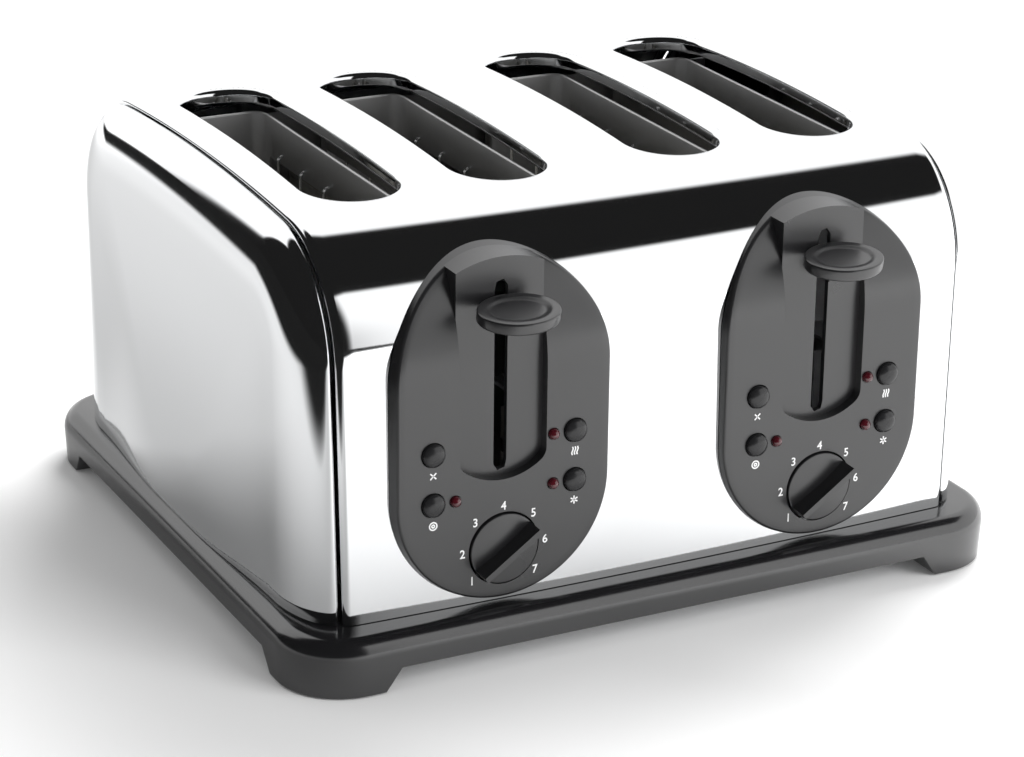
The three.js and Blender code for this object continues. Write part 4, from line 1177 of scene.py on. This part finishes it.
def mark_waves(size):
    steps = 16
    heights = [i / steps - 0.5 for i in range(steps + 1)]
    return [[(size * (across + 0.08 * math.sin(2 * math.pi * height)), size * height) for height in heights]
            for across in (-0.32, 0, 0.32)]


def mark_star(size):
    reach = size * 0.5
    turns = [quarter + i * math.pi / 3 for i in range(3)]
    return [[(-reach * math.cos(turn), -reach * math.sin(turn)), (reach * math.cos(turn), reach * math.sin(turn))]
            for turn in turns]


marks = {"cancel": mark_cross, "bagel": mark_ring, "reheat": mark_waves, "defrost": mark_star}


def add_marks(hand, side):
    """A plain sign below each button."""
    bm = bmesh.new()
    for name, (sign, level) in buttons.items():
        centre = Vector((side * pair_x + sign * button_x, panel_face_y - mark_bed, button_zs[level] - mark_drop))
        for points in marks[name](mark_height):
            gather(bm, stroke(points, centre))
    finish_piece(bm, f"button_signs_{hand}", "printed_white", "housing")


add_wrap()
add_base()
for hand, side in hands.items():
    add_side_cover(hand, side)
    add_crumb_tray(hand, side)
    add_panel(hand, side)
    add_knob(hand, side)
    for name in buttons:
        add_button(hand, side, name)
    for name in lamps:
        add_lamp(hand, side, name)
    add_paddle(hand, side)
    add_digits(hand, side)
    add_marks(hand, side)
for name, x in slot_centres.items():
    add_lip(name, x)
    add_well(name, x)
    add_guards(name, x)

# The CAD nodes that keep their shape
kept = {"bottom_plate": "steel", "chassis_plate_front": "steel", "chassis_plate_back": "steel", "cord_gland": "rubber"}
for corner in ("left_front", "left_back", "right_front", "right_back"):
    kept[f"rubber_foot_{corner}"] = "rubber"
for hand in hands:
    kept |= {f"lift_carriage_{hand}": "steel", f"guide_rod_{hand}": "spring_steel",
             f"return_spring_{hand}": "spring_steel", f"control_board_{hand}": "circuit_board",
             f"electromagnet_{hand}": "copper"}
    kept |= {f"bread_lift_{hand}_{place}": "spring_steel" for place in ("a", "b")}
    kept |= {f"heater_card_{hand}_{place}": "mica" for place in ("a", "middle", "b")}
for node, look in kept.items():
    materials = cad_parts[node].data.materials
    materials.clear()
    materials.append(looks[look])


# Studio: a white floor whose reflections carry a painted glow far off and painted shade to the left, and a tent that
# is white behind and to the right, dark above and to the left
def light_path(tree):
    for node in list(tree.nodes):
        tree.nodes.remove(node)
    node = add_node(tree, "ShaderNodeLightPath").socket.node
    return [Socket(tree, node.outputs[f"Is {kind} Ray"]) for kind in ("Camera", "Glossy", "Transmission")]


def tent(way):
    """The lit part of the tent, 0 or 1 by direction, as the polished metal shows it."""
    x, y, z = way.parts()
    soft = 0.05
    left_edge = (-0.58 * x).at_least(-1.9 * x - 1.15 * z)
    behind = (y - (0.4 * z - 0.25 * x).at_least(left_edge)).ramped(-soft, soft)
    front = (0.55 * x - y - 1.2 * z).ramped(-soft, soft) * (x + 0.325 * y).ramped(-soft, soft)
    right = (x - 1.1 * z).ramped(-soft, soft) * (x + 0.325 * y).ramped(-soft, soft)
    return behind.at_least(front).at_least(right)


def add_world():
    world = bpy.data.worlds.new("tent")
    bpy.context.scene.world = world
    world.use_nodes = True
    tree = world.node_tree
    camera, glossy, through = light_path(tree)
    seen = camera.at_least(through)
    plain = 0.5
    lit_level = 1.2
    dark = 0.012
    lit = tent(add_node(tree, "ShaderNodeTexCoord")) * (lit_level - dark) + dark
    strength = plain * (1 - glossy) + lit * glossy
    strength = strength * (1 - seen) + seen
    light = add_node(tree, "ShaderNodeBackground", values={0: (1, 1, 1, 1), 1: strength})
    out = tree.nodes.new("ShaderNodeOutputWorld")
    tree.links.new(light.socket, out.inputs[0])


def add_floor():
    bm = bmesh.new()
    bmesh.ops.create_grid(bm, x_segments=2, y_segments=2, size=4)
    mesh = bpy.data.meshes.new("floor")
    bm.to_mesh(mesh)
    bm.free()
    floor = bpy.data.objects.new("floor", mesh)
    bpy.context.scene.collection.objects.link(floor)
    material = bpy.data.materials.new("white_floor")
    material.use_nodes = True
    tree = material.node_tree
    camera, glossy, through = light_path(tree)
    matt = add_node(tree, "ShaderNodeBsdfDiffuse", values={0: (0.95, 0.95, 0.95, 1)})
    x, y, _ = add_node(tree, "ShaderNodeTexCoord", out=3).parts()
    # Painted light in reflections only: the floor further from the middle glows brighter as the polished metal shows
    # it.
    painted_far_reflection_glow = (x * x + y * y).ramped(0.5, 2)
    shown = 0.03 * camera.at_least(glossy).at_least(through) + 0.8 * painted_far_reflection_glow * glossy
    glow = add_node(tree, "ShaderNodeEmission", values={0: (1, 1, 1, 1), 1: shown})
    both = add_node(tree, "ShaderNodeAddShader", values={0: matt, 1: glow})
    # Painted shade in reflections only: as the polished metal shows it, the floor turns dark towards the left, with a
    # painted shadow of the toaster near its left side.
    left = -1 * x
    painted_dark_reflection_left = (left + 0.53 * (-1 * y).at_least(0) - 0.12 * y.at_least(0)).ramped(0.4, 0.52)
    painted_reflected_shadow = left.ramped(0.1, 0.2) * (0.5 - 0.25 * left.ramped(0.2, 0.42))
    painted_reflection_dark = add_node(tree, "ShaderNodeEmission", values={0: (1, 1, 1, 1), 1: 0.015})
    ground = add_node(tree, "ShaderNodeMixShader", values={
        0: glossy * painted_dark_reflection_left.at_least(painted_reflected_shadow), 1: both, 2: painted_reflection_dark})
    out = tree.nodes.new("ShaderNodeOutputMaterial")
    tree.links.new(ground.socket, out.inputs[0])
    floor.data.materials.append(material)


def add_soft_light(name, place, size, power):
    lamp = bpy.data.lights.new(name, "AREA")
    lamp.size = size
    lamp.energy = power
    light = bpy.data.objects.new(name, lamp)
    light.visible_glossy = False
    aim = Vector((0, 0, body_top_z / 2)) - Vector(place)
    light.matrix_world = Matrix.Translation(place) @ aim.to_track_quat("-Z", "Y").to_matrix().to_4x4()
    bpy.context.scene.collection.objects.link(light)


add_world()
add_floor()
add_soft_light("back_right_softbox", (1.0, 0.9, 1.5), 1.4, 52)
add_soft_light("front_right_softbox", (0.9, -1.6, 1.0), 1.2, 24)
bpy.context.scene.view_settings.view_transform = "Standard"
